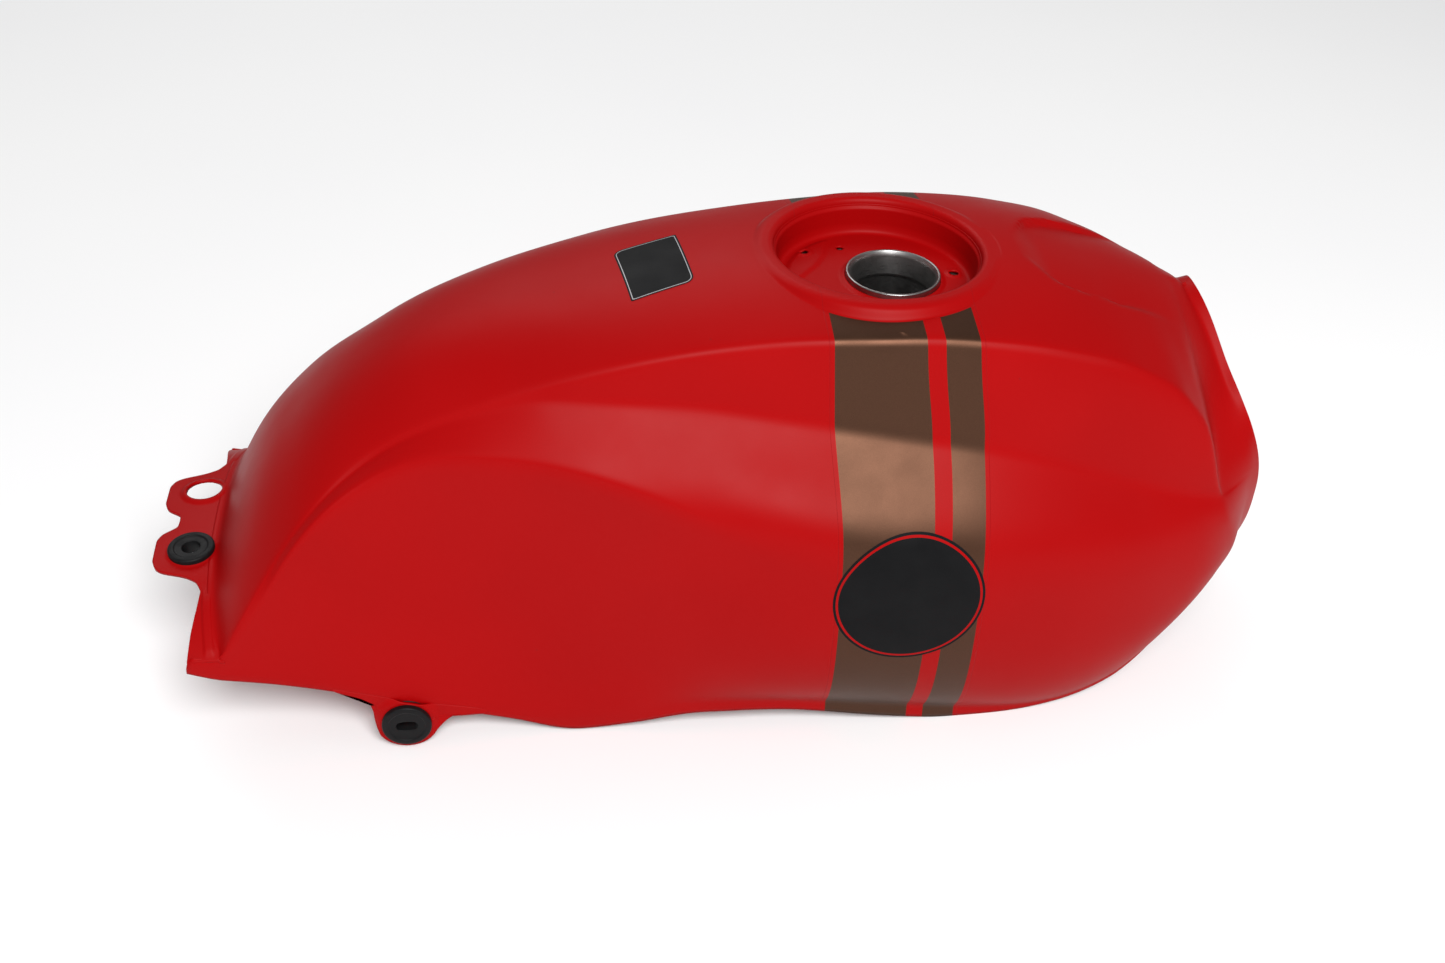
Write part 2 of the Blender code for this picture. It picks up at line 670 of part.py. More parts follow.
def drain_tube(parts):
    """A tube from the recess floor to the tunnel, so that rain and spilt fuel run out under the tank."""
    x, y = DRAIN_AT
    top = -RECESS_DEPTH - SHEET - 0.6 - x * math.tan(FILLER_LEAN)
    roof = tunnel(x)[2]
    high, low = top - 14, roof + 16
    bend = [(y + (DRAIN_OUT_Y - y) * ease(0, 1, t), high + (low - high) * t) for t in np.linspace(0, 1, 7)]
    route = [(y, top)] + bend + [(DRAIN_OUT_Y, roof - 14)]
    curve = bpy.data.curves.new("recess_drain_tube", "CURVE")
    curve.dimensions = "3D"
    curve.bevel_depth = DRAIN_TUBE_R * MM
    curve.bevel_resolution = 2
    spline = curve.splines.new("POLY")
    spline.points.add(len(route) - 1)
    for target, (across, height) in zip(spline.points, route):
        target.co = (*at(x, across, height), 1)
    tube = mesh_from_curve(parts, "recess_drain_tube", curve)
    tube.data.materials.append(material(*ZINC))
    solidify(tube, DRAIN_TUBE_WALL)


def fuel_outlet(parts):
    """A flanged bush through the right pocket's floor, for the fuel tap."""
    profile = [(14, 5), (14, GAP), (9.4, GAP), (9.4, -7), (8.8, -7.6), (6, -7.6), (6, 5)]
    bush = turned(parts, "fuel_outlet_bush", profile, ZINC, 28)
    bush.location = at(*OUTLET_AT, pan_floor(OUTLET_AT[0]) + 0.4)


def sender_screw_places():
    x, y = SENDER_AT
    turns = [math.radians(45 + 90 * i) for i in range(4)]
    return [(x + SENDER_SCREW_R * math.cos(a), y + SENDER_SCREW_R * math.sin(a)) for a in turns]


def drilled(obj, cutters, low, high, name):
    """Four screw holes through a piece of the level sender."""
    for i, (x, y) in enumerate(sender_screw_places()):
        hole = hide(cylinder(cutters, "cut_%s_%d" % (name, i + 1), 2.3, high - low + 4, 12))
        hole.location = at(x, y, (low + high) / 2)
        cut(obj, hole)


def level_sender(parts, cutters):
    """The level sender: a weld ring inside the floor, a gasket and a flange under it, and a forked stem."""
    x, y = SENDER_AT
    floor = pan_floor(x)
    slope = 0.15  # the floor is this far from level across the flange
    ring_low = floor + slope + GAP
    bore = SENDER_HOLE_R + 0.6
    ring = turned(parts, "sender_weld_ring", ring_profile(SENDER_R, bore, 0, 3), ZINC, 32)
    ring.location = at(x, y, ring_low)
    drilled(ring, cutters, ring_low, ring_low + 3, "ring_screw")
    gasket_top = floor - SHEET - slope - GAP
    gasket = turned(parts, "sender_gasket", ring_profile(SENDER_R, bore, -1.5, 0), NITRILE, 32)
    gasket.location = at(x, y, gasket_top)
    drilled(gasket, cutters, gasket_top - 1.5, gasket_top, "gasket_screw")
    flange_top = gasket_top - 1.5 - GAP
    edge = [(0, 0), (SENDER_R, 0), (SENDER_R, -2), (SENDER_R - 0.6, -2.6)]
    profile = edge + [(7.5, -2.6), (6.5, -9), (0, -9)]
    flange = turned_solid(parts, "sender_flange", profile, ZINC, 32)
    flange.location = at(x, y, flange_top)
    drilled(flange, cutters, flange_top - 9, flange_top, "flange_screw")
    sender_stem(parts, cutters, flange_top)
    sender_screws(parts, flange_top, ring_low + 2 - flange_top)


def sender_screws(parts, flange_top, top):
    """Cap screws up through the flange, the gasket and the floor into the weld ring."""
    under = -2.6 - GAP
    shank = [(0, top), (1.9, top), (1.9, under)]
    profile = shank + [(3.5, under), (3.5, -5.4), (3.1, -5.8), (0, -5.8)]
    for i, (x, y) in enumerate(sender_screw_places()):
        screw = turned_solid(parts, "sender_screw_%d" % (i + 1), profile, ZINC, 12)
        screw.location = at(x, y, flange_top)


def ring_profile(outer, inner, low, high):
    return [(outer, high), (outer, low), (inner, low), (inner, high)]


def turned_solid(collection, name, profile, finish, steps):
    """A turned piece without a bore: its profile starts and ends on the axis."""
    data = bpy.data.meshes.new(name)
    points = [(radius * MM, 0, height * MM) for radius, height in profile]
    data.from_pydata(points, [(i, i + 1) for i in range(len(points) - 1)], [])
    return turn(put(collection, name, data, *finish), steps)


def box(collection, name, low, high, finish=()):
    """A box between two corners in millimetres."""
    mesh = bmesh.new()
    bmesh.ops.create_cube(mesh, size=1.0)
    middle = (at(*low) + at(*high)) / 2
    size = at(*high) - at(*low)
    bmesh.ops.scale(mesh, vec=size, verts=mesh.verts)
    bmesh.ops.translate(mesh, vec=middle, verts=mesh.verts)
    data = bpy.data.meshes.new(name)
    mesh.to_mesh(data)
    mesh.free()
    return put(collection, name, data, *finish)


def sender_stem(parts, cutters, base):
    """A post with a two-cheeked fork, and the pin that the float's arm turns on."""
    x, y = SENDER_AT
    post_top = PIVOT_Z - 9
    foot = (x - 4.5, y - 4.5, base + GAP)
    stem = box(parts, "sender_stem", foot, (x + 4.5, y + 4.5, post_top), PLASTIC)
    corner = (x - 4.5, y - 8, post_top - 3)
    yoke = hide(box(cutters, "join_fork_base", corner, (x + 4.5, y + 8, post_top)))
    cut(stem, yoke, "UNION")
    for side, name in ((-1, "right"), (1, "left")):
        inner, outer = sorted((y + side * 4, y + side * 8))
        low = (x - 4.5, inner, post_top - 1)
        cheek = hide(box(cutters, "join_fork_" + name, low, (x + 4.5, outer, PIVOT_Z + 4)))
        cut(stem, cheek, "UNION")
    pin = hide(cylinder(cutters, "join_fork_pin", PIVOT_R, 14, 16))
    pin.rotation_euler = (math.radians(90), 0, 0)
    pin.location = at(x, y, PIVOT_Z)
    cut(stem, pin, "UNION")


def float_arm(parts, cutters):
    """The arm that turns on the fork's pin: an eye, a wire, and the float across its end."""
    pivot = bpy.data.objects.new("float_pivot", None)
    parts.objects.link(pivot)
    pivot.location = at(*SENDER_AT, PIVOT_Z)
    pivot.rotation_euler = (0, -ARM_REST, 0)
    profile = [(3.6, 2.8), (3.6, -2.8), (PIVOT_R + GAP, -2.8), (PIVOT_R + GAP, 2.8)]
    arm = turned(parts, "float_arm", profile, ZINC, 20)
    arm.parent = pivot
    arm.rotation_euler = (math.radians(90), 0, 0)
    wire = hide(cylinder(cutters, "join_arm_wire", ARM_WIRE_R, ARM_LENGTH - 2.6, 10))
    wire.parent = pivot
    wire.rotation_euler = (0, math.radians(90), 0)
    wire.location = Vector(((ARM_LENGTH + 2.6) / 2, 0, 0)) * MM
    cut(arm, wire, "UNION")
    stub = hide(cylinder(cutters, "join_arm_stub", ARM_WIRE_R, FLOAT_WIDTH + 5, 10))
    stub.parent = pivot
    stub.rotation_euler = (math.radians(90), 0, 0)
    stub.location = Vector((ARM_LENGTH, FLOAT_WIDTH / 2 + 1.4, 0)) * MM
    cut(arm, stub, "UNION")
    bore = ARM_WIRE_R + GAP
    half = FLOAT_WIDTH / 2
    profile = [
        (FLOAT_R - 1.2, half), (FLOAT_R, half - 1.2), (FLOAT_R, 1.2 - half), (FLOAT_R - 1.2, -half),
        (bore, -half), (bore, half),
    ]
    piece = turned(parts, "float", profile, NITRILE, 24)
    piece.parent = pivot
    piece.rotation_euler = (math.radians(90), 0, 0)
    piece.location = Vector((ARM_LENGTH, half + 2.2, 0)) * MM


def main():
    for obj in list(bpy.data.objects):
        bpy.data.objects.remove(obj, do_unlink=True)
    parts = bpy.data.collections.new("fuel_tank")
    cutters = bpy.data.collections.new("cutters")
    for collection in (parts, cutters):
        bpy.context.scene.collection.children.link(collection)
    outer_skins(parts, cutters)
    tunnel_pan(parts, cutters)
    rear_bracket(parts, cutters)
    grommets(parts, cutters)
    side_tabs(parts, cutters)
    recess_cup(parts, cutters)
    filler_neck(parts)
    screw_bosses(parts)
    front_saddles(parts)
    drain_tube(parts)
    fuel_outlet(parts)
    level_sender(parts, cutters)
    float_arm(parts, cutters)


main()
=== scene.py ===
"""Looks for the motorcycle fuel tank: a fine painted shell and its fittings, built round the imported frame.

Shape tables are in millimetres from the centre of the filler recess: +X forward, +Y left, +Z up.
at() moves them into the frame, where the filler_ring mount says where that centre is.
"""
import json
import math

import bmesh
import bpy
import numpy as np
from mathutils import Matrix, Vector
from mathutils.bvhtree import BVHTree


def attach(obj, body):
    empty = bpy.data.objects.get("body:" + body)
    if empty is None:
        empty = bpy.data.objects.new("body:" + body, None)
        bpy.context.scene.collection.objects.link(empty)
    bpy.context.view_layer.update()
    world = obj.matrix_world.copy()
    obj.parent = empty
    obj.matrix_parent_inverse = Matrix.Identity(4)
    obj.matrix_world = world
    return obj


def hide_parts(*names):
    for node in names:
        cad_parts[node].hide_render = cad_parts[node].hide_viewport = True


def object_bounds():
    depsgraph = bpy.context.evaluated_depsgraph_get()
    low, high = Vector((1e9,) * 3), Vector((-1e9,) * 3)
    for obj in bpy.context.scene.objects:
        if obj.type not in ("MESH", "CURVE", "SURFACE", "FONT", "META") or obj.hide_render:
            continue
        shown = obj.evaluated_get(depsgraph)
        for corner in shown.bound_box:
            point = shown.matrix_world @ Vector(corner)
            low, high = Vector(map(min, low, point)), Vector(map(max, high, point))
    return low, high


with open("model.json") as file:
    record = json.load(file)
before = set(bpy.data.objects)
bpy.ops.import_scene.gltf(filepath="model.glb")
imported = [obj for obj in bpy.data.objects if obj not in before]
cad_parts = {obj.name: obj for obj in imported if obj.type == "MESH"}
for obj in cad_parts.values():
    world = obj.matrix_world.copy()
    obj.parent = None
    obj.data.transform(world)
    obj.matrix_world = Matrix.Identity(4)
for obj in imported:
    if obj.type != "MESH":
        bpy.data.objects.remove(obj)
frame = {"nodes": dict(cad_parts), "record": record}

cad_low, cad_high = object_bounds()

# ---- driving dimensions (millimetres, in the filler's frame) ----
MM = 0.001
RING_MOUNT = next(m for m in frame["record"]["mounts"] if m["name"] == "filler_ring")
FILLER = Vector((RING_MOUNT["pos_m"][0], 0, RING_MOUNT["pos_m"][2]))
FILLER_LEAN = math.radians(2.56)
SHEET = 1.2
BODY = "tank"

RING_INNER_R = 55.4  # where the ring turns down into the recess
LIP = ((54.4, -0.15), (53.6, -0.6), (52.9, -1.4), (52.5, -2.6), (52.2, -4.2))  # the lip: (radius, height)
COLLAR_R = 73.0  # where the ring's foot has faded into the deck
RECESS_DEPTH = 19.0
RECESS_FLOOR_R = 46.6
NECK_AHEAD = 9.5
NECK_R = 24.3
NECK_TOP = -15.2
NECK_BOTTOM = -46.0
SCREW_CIRCLE_R = 42.5
SCREW_ANGLES = (5.0, 140.0, 248.0)
SCREW_HOLE_R = 2.6
DRAIN_AT = (-12.3, 33.2)
DRAIN_HOLE_R = 2.0

PLATE_CENTRE_Z = -141.7
PLATE_EDGE_DROP = 20.8
PLATE_HALF_WIDTH = 95.0
PLATE_SIDE = 93.2
REAR_HOLE_AT = (-359.9, 26.4)
REAR_HOLE_R = 9.6
PLATE_SHEET = 2.0

SIDE_HOLE_AT = (-254.7, -213.6)
SIDE_HOLE_R = 10.0
SIDE_TAB_Y = 91.4
SIDE_TAB_SHEET = 2.0
TAB_JOGGLE = 2.4  # how far the tab steps in to reach the flange

ROUNDEL_AT = (-1.2, -130.0)
ROUNDEL_R = 37.6
LABEL_CORNERS = ((-133, 15), (-100, 26), (-95, -24), (-127, -33))
FILM = 0.12  # how proud a decal stands

# ---- lines along the right-hand half of the tank: (x, half width, z) ----
# The rim's two lines are up to 4.5 mm higher than the frame's near the middle. The others are the same.
CREST = (
    (-346.4, 0, -141.0), (-341, 0, -131), (-334, 0, -118), (-322, 0, -98.5), (-300, 0, -75),
    (-250, 0, -36), (-200, 0, -15), (-140, 0, -4.5), (-60, 0, 1.6), (0, 0, 1.2), (40, 0, -1),
    (80, 0, -4.5), (120, 0, -14), (158, 0, -29),
)
CREASE = (
    (-341, 92, -161.2), (-335, 91, -151), (-322, 87.5, -131), (-300, 79, -100), (-250, 61.5, -59),
    (-200, 65.5, -37.5), (-140, 70, -20), (-60, 73, -9.7), (0, 78, -9), (40, 80, -12), (80, 82, -19.5),
    (120, 84, -34), (145, 86, -54), (158, 87, -77), (164, 87, -103),
)
LEDGE = (
    (-341.5, 92.3, -162.5), (-335, 91.4, -153), (-322, 88, -133), (-300, 79.6, -102), (-250, 62.5, -62),
    (-200, 66.8, -41), (-170, 70.5, -35.5), (-140, 74, -37), (-100, 76.5, -40.5), (-60, 81, -47.5),
    (0, 88, -58), (40, 92, -65.5), (80, 94, -77.5), (120, 94, -92), (145, 92, -101), (166, 89, -107),
)
WAIST = (
    (-343, 93, -165), (-335, 92, -156), (-322, 89.5, -138), (-300, 85, -104), (-250, 74, -67),
    (-200, 84, -57), (-140, 99, -67), (-100, 109, -84), (-60, 118, -103), (-20, 124, -117),
    (20, 125.5, -124), (60, 123.5, -129), (100, 117.5, -135), (140, 106.5, -141), (165, 96, -144),
    (180, 84, -145),
)
SEAM = (
    (-345, 93.5, -169.5), (-320, 91.2, -177), (-290, 90.2, -187), (-250, 89.9, -201), (-167, 92, -219.5),
    (-100, 99, -208.5), (-60, 101, -210.5), (0, 103.5, -217.5), (40, 104, -223), (80, 102.5, -225.5),
    (105, 98, -223), (130, 90.3, -215), (152, 80, -199), (167, 70, -180),
)
FLANGE_EDGE = (
    (-345, 93.5, -173.5), (-300, 91.5, -187), (-250, 90, -204), (-200, 91, -219), (-167, 92, -228.6),
    (-140, 95, -225), (-100, 99, -217.3), (-60, 101, -217.8), (0, 103.5, -226.8), (28, 103.8, -230),
    (60, 103, -229.8), (80, 102.5, -228.6), (105, 98, -225.6), (130, 90, -217.8), (152, 79, -201.8),
    (167, 69, -182.8),
)
RIM_FOLD = (
    (163, 0, -31.5), (164, 8, -32.6), (167, 18, -38.5), (170, 28, -48.5), (175, 43, -64), (181, 60, -79),
    (186, 69, -95), (188.5, 70.5, -114), (189, 70, -134), (187, 68, -152), (182, 64, -169),
    (175.5, 58, -184),
)
RIM_EDGE = (
    (168, 0, -29.8), (168.8, 7, -30.6), (171.5, 16, -36), (174.5, 25, -44.5), (177.5, 36, -56),
    (182.5, 52, -69.5), (188.5, 62, -85), (194.5, 64, -104), (197, 62.5, -123), (196, 61, -143),
    (190.5, 57, -165), (181, 52, -185),
)
PLATE_REAR = (  # the rear plate's edge: (half width, x)
    (0, -369.5), (5.5, -369.8), (8, -373), (11, -377), (16, -379.2), (33, -379.2), (38.5, -377),
    (41.5, -373), (42.8, -368), (45, -361.5), (49, -355.5), (56, -352.3), (66, -353.4), (80, -355.6),
    (94.5, -357.2),
)

# ---- how finely the shell is drawn ----
DECK_COLUMNS, WALL_COLUMNS, SHELF_COLUMNS, FLANK_COLUMNS, FLANGE_COLUMNS = 38, 14, 20, 26, 4
REAR_ROWS, MIDDLE_ROWS, FRONT_ROWS = 46, 120, 44
REAR_SHARE, FRONT_SHARE = 0.14, 0.82  # how much of the length each of them takes up to
ROLL_ROWS, RIM_ROWS = 16, 8
DENSE = 420  # points of a section before it is softened
CREASE_SOFT, LEDGE_SOFT, WAIST_SOFT, SEAM_SOFT = 1.8, 2.2, 4.0, 0.9

# ---- the dish in the deck ahead of the filler: (x, half width of its edge) ----
DISH_EDGE = (
    (68, 0), (72, 12), (78, 23), (84, 34), (92, 38.5), (99, 40.5), (115, 43), (136, 42.5), (150, 42),
)
DISH_DEPTH = 3.6
DISH_WALL = 4.4  # how wide its sloping side is
DISH_FADE = (108, 150)  # where it runs out into the deck

# ---- the shell's front and rear edges ----
RETURN_ROWS = 4  # the rim's edge turned in to meet the pan
RETURN_AIM = (0.8, 6.5)  # where it is aimed: (back, inward)
RETURN_LAP = 1.1  # how far it goes, as a share of the way to the pan
FLARE, FLARE_ROWS = 4.6, 5  # how far the rear edge runs out on the plate, and in how many rows
SIDE_LIP = 13.2  # how far the skin runs on along the plate's side
LIP_RISE = 0.42  # how steeply its lower corner climbs


def at(x, y, z):
    return FILLER + Vector((x, y, z)) * MM


def ease(start, end, value):
    share = np.clip((value - start) / (end - start), 0.0, 1.0)
    return share * share * (3 - 2 * share)


def slopes(x, values):
    """Slope at each point of a curve through the values, weighted to the nearer neighbour."""
    step = np.diff(x)
    slope = np.diff(values) / step
    inner = (slope[:-1] * step[1:] + slope[1:] * step[:-1]) / (step[:-1] + step[1:])
    inner[slope[:-1] * slope[1:] <= 0] = 0
    return np.concatenate([slope[:1], inner, slope[-1:]])


def through(points, keys=None):
    """A function that reads a smooth curve through the points, by x or by the given keys."""
    points = np.array(points, float)
    keys = points[:, 0] if keys is None else np.asarray(keys, float)
    slope = np.stack([slopes(keys, points[:, axis]) for axis in range(3)], axis=1)

    def read(value):
        value = min(max(value, keys[0]), keys[-1])
        i = min(int(np.searchsorted(keys, value, side="right")) - 1, len(keys) - 2)
        step = keys[i + 1] - keys[i]
        t = (value - keys[i]) / step
        start = (1 + 2 * t) * (1 - t) ** 2 * points[i] + t * (1 - t) ** 2 * step * slope[i]
        end = t * t * (3 - 2 * t) * points[i + 1] + t * t * (t - 1) * step * slope[i + 1]
        return start + end

    return read


def along(points):
    read = through(points)
    first, last = points[0][0], points[-1][0]
    return lambda share: read(first + (last - first) * share)


def around(points):
    steps = np.linalg.norm(np.diff(np.array(points, float), axis=0), axis=1)
    lengths = np.concatenate([[0], np.cumsum(steps)])
    return through(points, lengths / lengths[-1])


crest, crease, ledge = along(CREST), along(CREASE), along(LEDGE)
waist, seam, flange_edge = along(WAIST), along(SEAM), through(FLANGE_EDGE)
rim_fold, rim_edge = around(RIM_FOLD), around(RIM_EDGE)


def bezier(start, a, b, end, count):
    t = np.linspace(0, 1, count + 1)[:, None]
    return (1 - t) ** 3 * start + 3 * t * (1 - t) ** 2 * a + 3 * t * t * (1 - t) * b + t**3 * end


def deck_row(share, count):
    top, edge = crest(share), crease(share)
    x = edge[0]
    power = 2.4 + 0.8 * ease(-310, -338, x) - 0.25 * ease(-180, -60, x) - 0.25 * ease(90, 150, x)
    v = np.linspace(0, 1, count + 1)
    row = [top[0] + (edge[0] - top[0]) * v**2, edge[1] * v, top[2] + (edge[2] - top[2]) * v**power]
    return np.stack(row, axis=1)


def wall_row(share, count):
    """The steep wall under the crease: flat at the middle of the tank and full at the front."""
    top, low = crease(share), ledge(share)
    t = np.linspace(0, 1, count + 1)[:, None]
    full = 2.6 * ease(10, 110, top[0]) * min(np.linalg.norm(low - top) / 30, 1)
    outward = np.array([0.25, 0.9, 0.36])
    return top + (low - top) * t + outward * full * 4 * t * (1 - t) ** 1.6


def flank_rows(share, over, under):
    top, middle, low = ledge(share), waist(share), seam(share)
    roundness = ease(-150, -40, middle[0])
    reach = np.linalg.norm(middle - top)
    straight = (middle - top) / reach
    shelf = np.array([0, math.cos(math.radians(52)), -math.sin(math.radians(52))])
    down = np.array([0, 0, -1.0])
    a = top + reach * 0.4 * (roundness * shelf + (1 - roundness) * straight)
    b = middle - reach * (roundness * 0.4 * down + (1 - roundness) * 0.33 * straight)
    upper = bezier(top, a, b, middle, over)
    drop = np.linalg.norm(low - middle)
    chord = (low - middle) / drop
    hollow = np.array([0, -0.03, 0])
    tuck = np.array([0, math.cos(math.radians(50)), math.sin(math.radians(50))])
    c = middle + drop * (roundness * 0.42 * down + (1 - roundness) * (0.33 * chord + hollow))
    d = low + drop * (roundness * 0.30 * tuck + (1 - roundness) * (hollow - 0.33 * chord))
    return upper, bezier(middle, c, d, low, under)


def resample(points, lengths, places):
    return np.stack([np.interp(places, lengths, points[:, axis]) for axis in range(3)], axis=1)


def lengths_of(points):
    steps = np.linalg.norm(np.diff(points, axis=0), axis=1)
    return np.concatenate([[0], np.cumsum(steps)])


def softened(points, spacing, place, radius, lengths):
    """The polyline rounded off over about a radius to each side of one place on it."""
    reach = int(4 * radius / spacing) + 1
    offsets = np.arange(-reach, reach + 1)
    kernel = np.exp(-0.5 * (offsets * spacing / radius) ** 2)
    kernel /= kernel.sum()
    mirrored = points[1 : reach + 1][::-1] * (1, -1, 1)
    beyond = 2 * points[-1] - points[-reach - 1 : -1][::-1]
    padded = np.concatenate([mirrored, points, beyond])
    smooth = np.stack([np.convolve(padded[:, axis], kernel, mode="valid") for axis in range(3)], axis=1)
    weight = np.exp(-(((lengths - place) / (3.2 * radius)) ** 4))[:, None]
    return points + weight * (smooth - points)


def section(share):
    """One section of the shell, softened at its lines, with its columns on them."""
    deck, wall = deck_row(share, 60), wall_row(share, 24)
    upper, lower = flank_rows(share, 40, 50)
    foot = seam(share)
    edge = flange_edge(foot[0])
    edge[0] = foot[0]
    edge[1] = foot[1] - 0.3
    raw = np.concatenate([deck, wall[1:], upper[1:], lower[1:], [edge]])
    lengths = lengths_of(raw)
    knots = lengths[[0, 60, 84, 124, 174, 175]]
    places = np.linspace(0, lengths[-1], DENSE)
    points = resample(raw, lengths, places)
    spacing = places[1]
    x = deck[-1][0]
    knee = 1 - ease(-100, 0, x)
    crisp = ease(-230, -160, x)
    for place, radius in (
        (knots[1], CREASE_SOFT * (0.6 + 0.4 * crisp)),
        (knots[2], LEDGE_SOFT * (0.35 + 0.65 * crisp)),
        (knots[3], WAIST_SOFT * (1.6 - knee * 0.9)),
        (knots[4], SEAM_SOFT),
    ):
        points = softened(points, spacing, place, min(radius, 0.2 * lengths[-1]), places)
    counts = (DECK_COLUMNS, WALL_COLUMNS, SHELF_COLUMNS, FLANK_COLUMNS, FLANGE_COLUMNS)
    columns = [np.linspace(a, b, n, endpoint=False) for a, b, n in zip(knots, knots[1:], counts)]
    return resample(points, places, np.concatenate(columns + [knots[-1:]]))


def roll_rows(last, before):
    """The front face: rows that roll from the last section over to the rim's fold, then the rim itself."""
    lengths = lengths_of(last)
    place = lengths / lengths[-1]
    fold = rounded_crown(np.array([rim_fold(p) for p in place]))
    edge = rounded_crown(np.array([rim_edge(p) for p in place]))
    ahead = last - before
    ahead /= np.linalg.norm(ahead, axis=1)[:, None]
    gap = np.linalg.norm(fold - last, axis=1)[:, None]
    column = np.arange(len(last))
    wall_end = DECK_COLUMNS + WALL_COLUMNS
    tight = ease(DECK_COLUMNS - 14, DECK_COLUMNS, column) * ease(wall_end + 24, wall_end + 4, column)
    a = last + ahead * gap * (0.4 - 0.32 * tight[:, None])
    b = fold + (a - fold) * 0.45
    rows = []
    for t in np.linspace(0, 1, ROLL_ROWS + 1)[1:]:
        rows.append((1 - t) ** 3 * last + 3 * t * (1 - t) ** 2 * a + 3 * t * t * (1 - t) * b + t**3 * fold)
    for t in np.linspace(0, 1, RIM_ROWS + 1)[1:]:
        rows.append(fold + (edge - fold) * t)
    pan = pan_reader()
    aims = edge + turned_in(edge) * RETURN_AIM[1] - (RETURN_AIM[0], 0, 0)
    landing = np.array([pan(aim) for aim in aims])
    for t in np.linspace(0, RETURN_LAP, RETURN_ROWS + 1)[1:]:
        rows.append(edge + (landing - edge) * t)
    return rows


def pan_reader():
    """Finds the nearest place on the tunnel pan, in millimetres."""
    data = frame["nodes"]["tunnel_pan"].data
    corners = [vertex.co for vertex in data.vertices]
    tree = BVHTree.FromPolygons(corners, [tuple(face.vertices) for face in data.polygons])

    def nearest(point):
        return np.array((tree.find_nearest(at(*point))[0] - FILLER) / MM)

    return nearest


def seat_foot(grid, first):
    """Brings the lower edge of the roll onto the pan, so that the corner closes."""
    pan = pan_reader()
    for index in range(first, len(grid)):
        row = grid[index]
        shift = (pan(row[-1]) - row[-1]) * ease(first, first + 5, index)
        for back, share in enumerate((1.0, 0.8, 0.55, 0.3, 0.1)):
            row[-1 - back] += shift * share
    return grid


def rounded_crown(points, passes=24):
    """Rounds the middle of a rim, where its two mirrored halves meet."""
    near = ease(26, 8, np.arange(len(points)))[:-1, None]
    for _ in range(passes):
        before = np.concatenate([points[1:2] * (1, -1, 1), points[:-2]])
        points[:-1] += 0.5 * near * ((before + points[1:]) / 2 - points[:-1])
    return points


def turned_in(edge):
    """Unit directions square to a rim, towards the opening it goes round."""
    run = np.gradient(edge, axis=0)
    inward = np.stack([np.zeros(len(edge)), run[:, 2], -run[:, 1]], axis=1)
    return inward / np.linalg.norm(inward, axis=1)[:, None]


def relax(grid, weight, passes):
    """Laplacian passes along the rows' direction, with the first and the last row held."""
    for _ in range(passes):
        middle = (grid[2:] + grid[:-2]) / 2
        grid[1:-1] += weight[1:-1, None, None] * (middle - grid[1:-1])
    return grid


def even_out(grid, first, last, passes=30):
    """Evens the roll at the nose in both directions, least beside the crease."""
    column = np.arange(grid.shape[1])
    hold = ease(DECK_COLUMNS - 10, DECK_COLUMNS, column)
    hold = hold * ease(DECK_COLUMNS + 34, DECK_COLUMNS + 18, column)
    weight = (0.5 * (1 - 0.85 * hold))[None, 1:-1, None]
    for _ in range(passes):
        inner = grid[first:last, 1:-1]
        near = grid[first - 1 : last - 1, 1:-1] + grid[first + 1 : last + 1, 1:-1]
        near = near + grid[first:last, :-2] + grid[first:last, 2:]
        grid[first:last, 1:-1] = inner + weight * (near / 4 - inner)
    return grid


def dish(x, y):
    """Depth of the pressed dish ahead of the filler."""
    edges = np.array(DISH_EDGE, float)
    width = np.interp(x, edges[:, 0], edges[:, 1], left=-20.0)
    inside = width - np.abs(y)
    side = ease(0.0, DISH_WALL, inside)
    start = ease(edges[0, 0] + 2, edges[0, 0] + 18, x)
    return DISH_DEPTH * side * start * (1 - ease(*DISH_FADE, x))


def shell_grid():
    """Rows of points from the rear edge to the pan, across both halves of the tank."""
    shares = np.concatenate([
        np.linspace(0, REAR_SHARE, REAR_ROWS, endpoint=False),
        np.linspace(REAR_SHARE, FRONT_SHARE, MIDDLE_ROWS, endpoint=False),
        np.linspace(FRONT_SHARE, 1, FRONT_ROWS),
    ])
    rows = [section(share) for share in shares]
    body = len(rows)
    rows += roll_rows(rows[-1], rows[-2])
    grid = np.array(rows)
    weight = np.full(len(grid), 0.5)
    held = RIM_ROWS + RETURN_ROWS
    weight[-held - 1 :] = 0.0
    grid = relax(grid, weight, 4)
    fold = len(grid) - 1 - held
    grid = even_out(grid, body - 3, fold)
    weight[:] = 0.0
    weight[fold - 2 : fold + 3] = 0.45
    grid = seat_foot(relax(grid, weight, 5), body)
    grid[:, 0, 1] = 0.0
    grid[:body, :, 2] -= dish(grid[:body, :, 0], grid[:body, :, 1])
    grid = relax(np.concatenate([rear_flare(grid[0]), grid]), rear_weights(len(grid) + FLARE_ROWS), 5)
    left = grid[:, :0:-1].copy()
    right = grid * (1, -1, 1)
    return np.concatenate([left, right], axis=1)


def rear_flare(row):
    """Rows that run the rear edge out: flat on the plate, and as a lip along the plate's side."""
    flat = 1 - ease(80, 91, row[:, 1])
    lip = ease(DECK_COLUMNS, DECK_COLUMNS + WALL_COLUMNS, np.arange(len(row)))
    reach = FLARE * flat + SIDE_LIP * lip
    onto = plate_height(row[:, 1]) + 0.5
    rise = LIP_RISE * reach * ease(-152, -170, row[:, 2])
    rows = []
    for step in range(FLARE_ROWS, 0, -1):
        out = row.copy()
        out[:, 0] -= reach * step / FLARE_ROWS
        out[:, 2] += (onto - row[:, 2]) * flat + rise * step / FLARE_ROWS
        rows.append(out)
    return np.array(rows)


